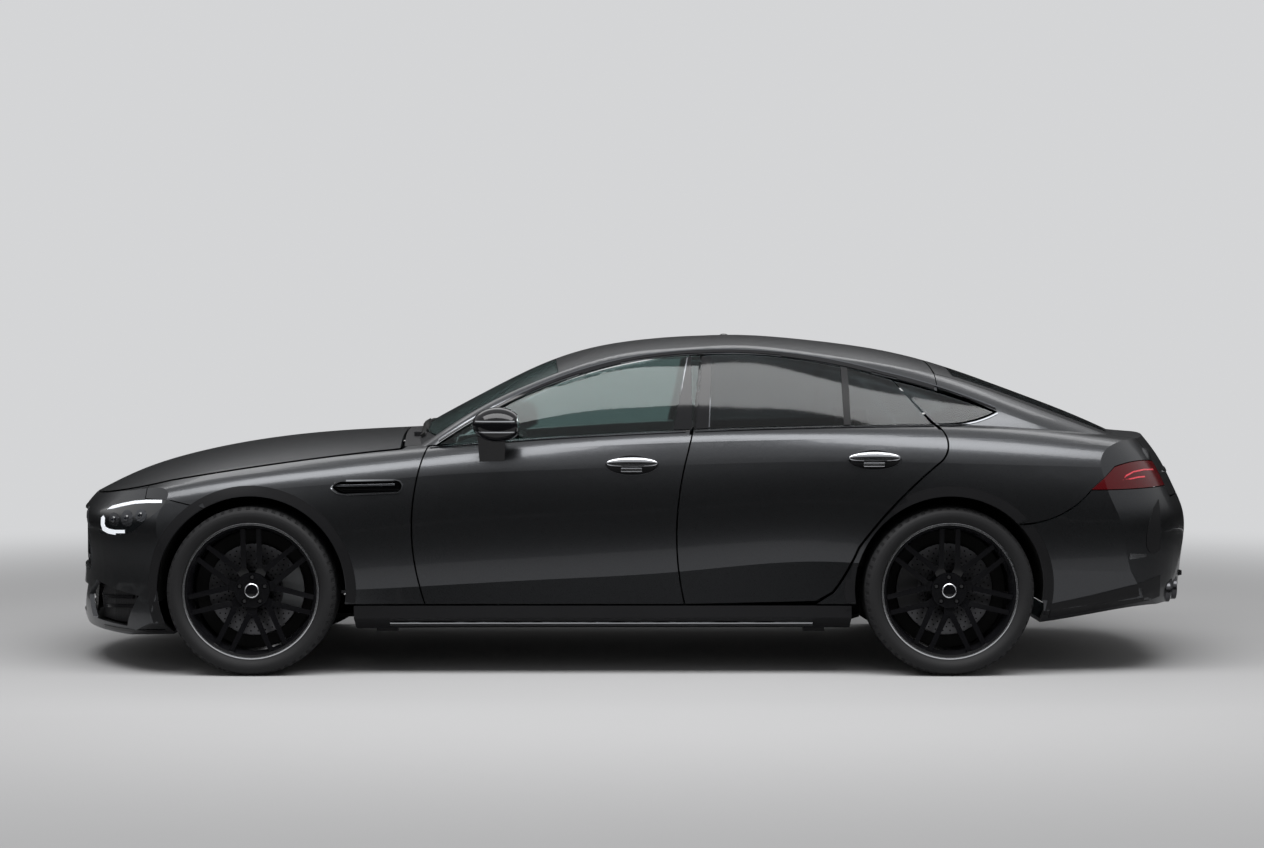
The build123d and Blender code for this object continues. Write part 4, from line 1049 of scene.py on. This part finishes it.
@dataclass
class RoadWheel:
    """Both wheels of one axle: tyre, bright rim edge, drilled disc, splash plate, cap and bolts."""

    axle: str
    x: float
    y: float
    width: float
    z: float = 0.358
    radius: float = 0.358
    rim: float = 0.289
    bead: float = 0.272
    set_back: float = 0.024
    groove: float = 0.0075
    slot_ends: Point = (0.045, 0.012)
    slot_reach: float = 0.346
    steps: int = 120
    bolts: int = 5
    bolt_circle: float = 0.056

    @property
    def centre(self) -> Triple:
        """Middle of the left wheel."""
        return (self.x, self.y, self.z)

    @property
    def lip(self) -> float:
        """Distance of the rim's edge from the wheel's middle plane."""
        return 0.5 * self.width - self.set_back

    @property
    def body(self) -> str:
        """The wheel's body name, with its side open."""
        return self.axle + "_wheel_{side}"

    def tyre(self) -> None:
        """A tyre with moulded walls, four grooves and shoulder blocks."""
        w, lip = 0.5 * self.width, self.lip
        spread, top = w - 0.044, self.radius - 0.0003
        wall = [(lip - 0.012, self.bead), (lip - 0.012, self.rim), (lip, self.rim + 0.001),
                (lip + 0.006, 0.2935), (lip + 0.0085, 0.296), (w - 0.0115, 0.299), (w - 0.006, 0.3035),
                (w - 0.001, 0.315), (w, 0.325), (w - 0.0025, 0.334), (w - 0.0035, 0.3345), (w - 0.006, 0.340),
                (w - 0.011, 0.3445), (w - 0.016, 0.348), (w - 0.026, 0.3545), (spread, 0.3568)]
        tread = []
        for c in (0.72 * spread, 0.26 * spread, -0.26 * spread, -0.72 * spread):
            tread += [(c + 0.0055, top), (c + 0.004, top - self.groove), (c - 0.004, top - self.groove),
                      (c - 0.0055, top)]
        piece = turned("tyre", wall + tread + [(-a, b) for a, b in reversed(wall)], self.centre, self.steps)
        inset_faces(piece, self._in_slot, thickness=0.003, depth=-0.004, use_individual=True)
        close_edit()
        for obj in both_sides(piece, f"road_tyre_{self.axle}", RUBBER, self.body, smooth=0.5):
            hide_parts(obj.name.removeprefix("road_"))

    def _in_slot(self, face: bpy.types.MeshPolygon) -> bool:
        """Whether a face lies in one of the slots across the tyre's shoulders."""
        off = face.center - Vector(self.centre)
        sector = int((math.atan2(off.z, off.x) % TURN) / TURN * self.steps)
        inner, outer = (0.5 * self.width - end for end in self.slot_ends)
        outside = math.hypot(off.x, off.z) > self.slot_reach
        return inner < abs(off.y) < outer and outside and sector % 2 == 0

    def rings(self) -> None:
        """The machined rim edge, the drilled disc face darkened with painted shade, the splash plate, and the
        cap with its ring.
        """
        a, d = -self.lip, self.set_back - self.lip
        # The disc's metal colour is set far darker than bare steel: painted shade for the shadow inside the
        # wheel. Its drilled holes are real.
        disc_in_painted_shade = Finish(f"disc_steel_{self.axle}", (0.055, 0.055, 0.058), 0.32, metallic=1.0,
                       pattern=Pattern.DRILLED, scale=36.0, spread=1.7, bump=0.6, centre=self.centre)
        fixed = "steering_knuckle_{side}" if self.axle == "front" else "body"
        rows = (
            ("rim_edge", BRIGHT, self.body, 128,
             [(a - 0.0025, 0.2795), (a - 0.0035, 0.284), (a - 0.0025, 0.2885), (a + 0.001, 0.2885),
              (a + 0.001, 0.2795)]),
            ("disc_face", disc_in_painted_shade, self.body, 128,
             [(-0.0195, 0.080), (-0.0205, 0.083), (-0.0205, 0.192), (-0.0195, 0.1945), (-0.017, 0.1945),
              (-0.017, 0.080)]),
            ("splash_plate", UNDER, fixed, 96,
             [(-0.001, 0.198), (-0.003, 0.200), (-0.003, 0.250), (-0.001, 0.252), (0.001, 0.250),
              (0.001, 0.200)]),
            ("hub_cap", GLOSS_BLACK, self.body, 64,
             [(d - 0.0035, ON_AXIS), (d - 0.003, 0.012), (d - 0.0015, 0.024), (d, 0.032),
              (d + 0.002, 0.0325)]),
            ("cap_ring", BRIGHT, self.body, 64,
             [(d - 0.0030, 0.0265), (d - 0.0040, 0.0285), (d - 0.0025, 0.0305), (d + 0.001, 0.0305),
              (d + 0.001, 0.0265)]))
        for stem, finish, body, steps, profile in rows:
            ring = turned(stem, profile, self.centre, steps, closed=profile[0][1] > ON_AXIS)
            both_sides(ring, f"{stem}_{self.axle}", finish, body)

    def wheel_bolts(self) -> None:
        """Hexagonal bolts in the hub's pockets."""
        depth = 0.032 - self.lip
        profile = [(depth, ON_AXIS), (depth, 0.006), (depth + 0.0015, 0.0085), (depth + 0.0145, 0.0085),
                   (depth + 0.0145, ON_AXIS)]
        piece = turned("wheel_bolts", profile, (self.x, self.y, self.z + self.bolt_circle), 6)
        edit(piece)
        for _ in range(self.bolts - 1):
            bpy.ops.mesh.duplicate()
            bpy.ops.transform.rotate(value=TURN / self.bolts, orient_axis="Y", center_override=self.centre)
        close_edit()
        both_sides(piece, f"wheel_bolts_{self.axle}", CAST, self.body)

    def build(self) -> None:
        """Make the axle's pieces and finish its wheel nodes."""
        dress_nodes(RIM_BLACK, f"wheel_{self.axle}_" + "{side}")
        self.tyre()
        self.rings()
        self.wheel_bolts()


@dataclass
class PaddedChair:
    """One padded seat: cushion, leaning back, headrest and plinth."""

    name: str
    x: float
    back_x: float
    y: float
    node: str
    width: float = 0.486
    lean: float = 0.27
    grid: int = 10
    crown: float = 0.16
    sink: float = 0.10
    bolster_from: float = 0.55
    pinch: float = 0.05
    taper: float = 0.04
    channel_half: float = 0.28

    def _pad(self, label: str, centre: Triple, size: Triple, turn: float, bolster: float, rows: int) -> Piece:
        """A crowned pad with side bolsters and sewn channels.

        Args:
            label: what the pad is.
            centre: its middle.
            size: length, width and thickness, its face upward.
            turn: how far it is tipped about Y.
            bolster: how far its sides rise over its middle.
            rows: number of sewn channels.

        Returns:
            The pad.
        """
        length, width, thick = size
        pad = primitive(f"{self.name}_{label}", "cube", size=1.0, scale=size)
        edit(pad)
        bpy.ops.mesh.subdivide(number_cuts=self.grid - 1)
        set_mode("OBJECT")
        for vertex in pad.data.vertices:
            u, v = 2.0 * vertex.co.x / length, 2.0 * vertex.co.y / width
            if vertex.co.z > 0.0:
                crown = self.crown * thick * (1.0 - u * u) * (1.0 - v * v)
                rise = bolster * max(0.0, (abs(v) - self.bolster_from) / (1.0 - self.bolster_from))
                vertex.co.z += crown + rise - self.sink * thick
            edge = self.pinch * (1.0 - abs(2.0 * vertex.co.z / thick)) if abs(v) > 0.99 else 0.0
            vertex.co.y *= (1.0 - edge) * (1.0 - self.taper * u * u)

        def in_channel(face: bpy.types.MeshPolygon) -> bool:
            """Whether a face lies in one of the sewn channels."""
            row = int((face.center.x / length + 0.5) * self.grid)
            middle = abs(face.center.y) < self.channel_half * width and 1 <= row <= self.grid - 2
            return face.normal.z > 0.7 and middle and row % (self.grid // rows) == 0

        inset_faces(pad, in_channel, thickness=0.012, depth=-0.006)
        set_mode("OBJECT")
        apply_modifier(pad, "SUBSURF", levels=2, render_levels=2)
        tip_and_move(pad, -turn, centre)
        finish_piece(pad, HIDE, smooth=0.9)
        return pad

    def build(self) -> None:
        """Make the seat's pieces; they stand for its frame solid."""
        depth, upright = self.back_x - self.x, 0.5 * math.pi
        rows = (("cushion", (self.x + 0.5 * depth + 0.01, self.y, 0.392), (depth + 0.02, self.width, 0.13),
                 -0.05, 0.030, 5),
                ("back", (self.back_x + 0.085, self.y, 0.70), (0.56, self.width - 0.01, 0.105),
                 upright - self.lean, 0.028, 5),
                ("headrest", (self.back_x + 0.168, self.y, 1.050), (0.13, 0.245, 0.072), upright - 0.12,
                 0.0, 1))
        pads = [self._pad(*row) for row in rows]
        plinth = rounded_box(f"{self.name}_plinth", (self.x + 0.5 * depth + 0.03, self.y, 0.2675),
                             (depth - 0.10, self.width - 0.06, 0.123), 0.012)
        finish_piece(plinth, DASH)
        for piece in (*pads, plinth):
            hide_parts(self.node)


@dataclass
class Cabin:
    """Seats, displays and the steering wheel's dress."""

    seat_y: float = 0.385
    rows: tuple[tuple[str, float, float], ...] = (("front", -0.33, 0.13), ("rear", 0.49, 0.845))
    vents_y: tuple[float, ...] = (-0.62, -0.10, 0.06, 0.60)
    boss_place: Triple = (-0.405, -0.370, 0.841)
    boss_slope: float = 0.42

    def build(self) -> None:
        """Make the seats, the displays, the air vents and the wheel's boss."""
        dress_nodes(HIDE, "steering_wheel")
        for row, x, back_x in self.rows:
            for side in Side:
                PaddedChair(f"seat_{row}_{side.word}", x, back_x, side.value * self.seat_y,
                            f"{row}_seats").build()
        cluster = rounded_box("display_cluster", (-0.648, -0.30, 0.985), (0.016, 0.62, 0.115), 0.006,
                              (0.0, -0.30, 0.0))
        finish_piece(cluster, SCREEN)
        finish_piece(rounded_box("display_foot", (-0.668, -0.30, 0.935), (0.05, 0.50, 0.04), 0.01), DASH)
        profile = [(0.0, ON_AXIS), (0.0, 0.034), (0.008, 0.041), (0.014, 0.041), (0.018, 0.036),
                   (0.010, 0.030), (0.006, ON_AXIS)]
        for i, y in enumerate(self.vents_y, 1):
            vent = turned(f"air_vent_{i}", profile, (-0.545, y, 0.868), 48, X_AXIS, closed=False)
            finish_piece(vent, CHROME)
        profile = [(0.0, ON_AXIS), (0.0, 0.045), (0.012, 0.055), (0.020, 0.052), (0.026, 0.030),
                   (0.028, ON_AXIS)]
        boss = turned("wheel_boss", profile, (0.0, 0.0, 0.0), 48, X_AXIS, closed=False)
        tip_and_move(boss, math.atan(self.boss_slope), self.boss_place)
        finish_piece(boss, DASH)


@dataclass
class Studio:
    """Camera, soft lights, dark boards for reflections, pale floor and background."""

    camera_place: Triple = (0.0, -10.2, 1.300)
    pitch: float = math.radians(1.459)
    lens: float = 62.62
    sensor: float = 36.0
    sight: float = 300.0
    floor_size: float = 160.0
    floor_colour: Triple = (0.46, 0.46, 0.465)
    fade: Point = (3.0, 9.0)
    background: Triple = (0.66, 0.665, 0.675)
    world_level: float = 0.30
    cards: tuple[tuple[str, Triple, Triple, Point], ...] = (
        ("flag_near", (0.0, -6.4, 1.75), (19.0, 0.04, 3.4), (0.9, 3.4)),
        ("flag_far", (0.0, 6.0, 2.85), (19.0, 0.04, 5.6), (2.2, 5.6)),
        ("flag_nose", (-9.5, -0.2, 1.75), (0.04, 12.4, 3.4), (0.9, 3.4)),
        ("flag_tail", (9.5, -0.2, 1.75), (0.04, 12.4, 3.4), (0.9, 3.4)),
        ("flag_floor", (0.0, -4.2, 0.008), (19.0, 4.4, 0.008), (1.0, 2.0)),
        ("flag_floor_nose", (-6.85, 2.0, 0.008), (5.3, 8.0, 0.008), (1.0, 2.0)),
        ("flag_floor_tail", (6.85, 2.0, 0.008), (5.3, 8.0, 0.008), (1.0, 2.0)))
    lamps: tuple[tuple[str, Triple, Triple, Point, float], ...] = (
        ("overhead_near", (0.0, -2.2, 4.3), (0.0, -0.5, 0.8), (8.0, 2.2), 330.0),
        ("overhead_far", (0.0, 2.4, 4.3), (0.0, 0.3, 0.9), (8.0, 1.4), 60.0))

    def build(self) -> None:
        """Make the camera, the floor, the cards, the lamps and the world."""
        scene = bpy.context.scene
        camera = bpy.data.objects.new("camera", bpy.data.cameras.new("camera"))
        scene.collection.objects.link(camera)
        camera.location = self.camera_place
        camera.rotation_euler = (0.5 * math.pi - self.pitch, 0.0, 0.0)
        camera.data.sensor_fit, camera.data.sensor_width = "HORIZONTAL", self.sensor
        camera.data.lens, camera.data.clip_end = self.lens, self.sight
        scene.camera = camera
        self._floor()
        for card in self.cards:
            self._card(*card)
        for name, place, aim, size, power in self.lamps:
            data = bpy.data.lights.new(name, "AREA")
            data.shape, data.size, data.size_y, data.energy = "RECTANGLE", *size, power
            lamp = bpy.data.objects.new(name, data)
            lamp.location = place
            lamp.rotation_euler = (Vector(aim) - Vector(place)).to_track_quat("-Z", "Y").to_euler()
            scene.collection.objects.link(lamp)
        self._world()

    @staticmethod
    def _seen(nodes: Nodes) -> Socket:
        """1 for what the camera, a reflection or a pane looks at, and 0 for light."""
        path = nodes.add("LightPath").outputs
        seen = nodes.math("MAXIMUM", path["Is Camera Ray"], path["Is Glossy Ray"])
        return nodes.math("MAXIMUM", seen, path["Is Transmission Ray"])

    @staticmethod
    def _step(nodes: Nodes, value: Socket, limits: Point) -> Socket:
        """A soft step from 0 to 1 between two limits."""
        return nodes.add("MapRange", {"Value": value, "From Min": limits[0], "From Max": limits[1]},
                         interpolation_type="SMOOTHSTEP").outputs["Result"]

    @staticmethod
    def _mix_over(nodes: Nodes, share: Socket, other: Socket) -> None:
        """Mix another shader over the material's own."""
        mix = nodes.add("MixShader", {0: share, 1: nodes.find("BSDF_PRINCIPLED").outputs[0], 2: other})
        nodes.tree.links.new(mix.outputs[0], nodes.find("OUTPUT_MATERIAL").inputs["Surface"])

    def _floor(self) -> None:
        """A pale floor that runs into the background far from the car."""
        floor = primitive("floor", "plane", size=self.floor_size)
        material = Finish("pale_floor", self.floor_colour, 0.5, ior=1.03, spread=0.02, bump=0.0).build()
        floor.data.materials.append(material)
        nodes = Nodes(material.node_tree, keep=True)
        place = nodes.add("TexCoord").outputs["Object"]
        reach = nodes.add("VectorMath", {0: place}, operation="LENGTH").outputs["Value"]
        far = self._step(nodes, reach, self.fade)
        glow = nodes.add("Emission", {"Color": (*self.background, 1.0), "Strength": 1.0})
        self._mix_over(nodes, nodes.times(far, self._seen(nodes)), glow.outputs[0])

    def _card(self, name: str, place: Triple, size: Triple, fade: Point) -> None:
        """A dark card that only reflections see, clear above the given heights."""
        card = rounded_box(name, place, size, 0.003)
        material = Finish(f"{name}_cloth", (0.012, 0.012, 0.012), 0.9, bump=0.1).build()
        card.data.materials.append(material)
        nodes = Nodes(material.node_tree, keep=True)
        height = nodes.add("SeparateXYZ", {0: nodes.add("NewGeometry").outputs["Position"]}).outputs["Z"]
        self._mix_over(nodes, self._step(nodes, height, fade), nodes.add("BsdfTransparent").outputs[0])
        card.visible_camera = card.visible_diffuse = card.visible_transmission = card.visible_shadow = False

    def _world(self) -> None:
        """A pale background for the camera and for reflections, over a plain light level."""
        world = bpy.data.worlds.new("studio")
        bpy.context.scene.world = world
        world.use_nodes = True
        nodes = Nodes(world.node_tree)
        light = nodes.add("Background", {"Color": (1.0, 1.0, 1.0, 1.0), "Strength": self.world_level})
        shown = nodes.add("Background", {"Color": (*self.background, 1.0), "Strength": 1.0})
        mix = nodes.add("MixShader", {0: self._seen(nodes), 1: light.outputs[0], 2: shown.outputs[0]})
        nodes.add("OutputWorld", {"Surface": mix.outputs[0]})


def main() -> None:
    """Build the car's dress, sub-assembly by sub-assembly."""
    logging.basicConfig(level=logging.INFO, format="%(name)s: %(message)s")
    bpy.context.scene.view_settings.view_transform = "Standard"
    bodywork, glazing = Bodywork(), Glazing()
    for step in (bodywork.dress, bodywork.arch_lips, bodywork.sill_blade, bodywork.roof_aerial,
                 bodywork.wipers, glazing.dress, glazing.trim, Handles().build, Mirrors().build,
                 SideVents().build, Headlamps().build, Nose().build, dress_tail,
                 RoadWheel("front", -1.609, -0.832, 0.270).build, RoadWheel("rear", 1.342, -0.820, 0.300).build,
                 Cabin().build, Studio().build):
        step()
    SKINS.clear()


if __name__ == "__main__":
    main()
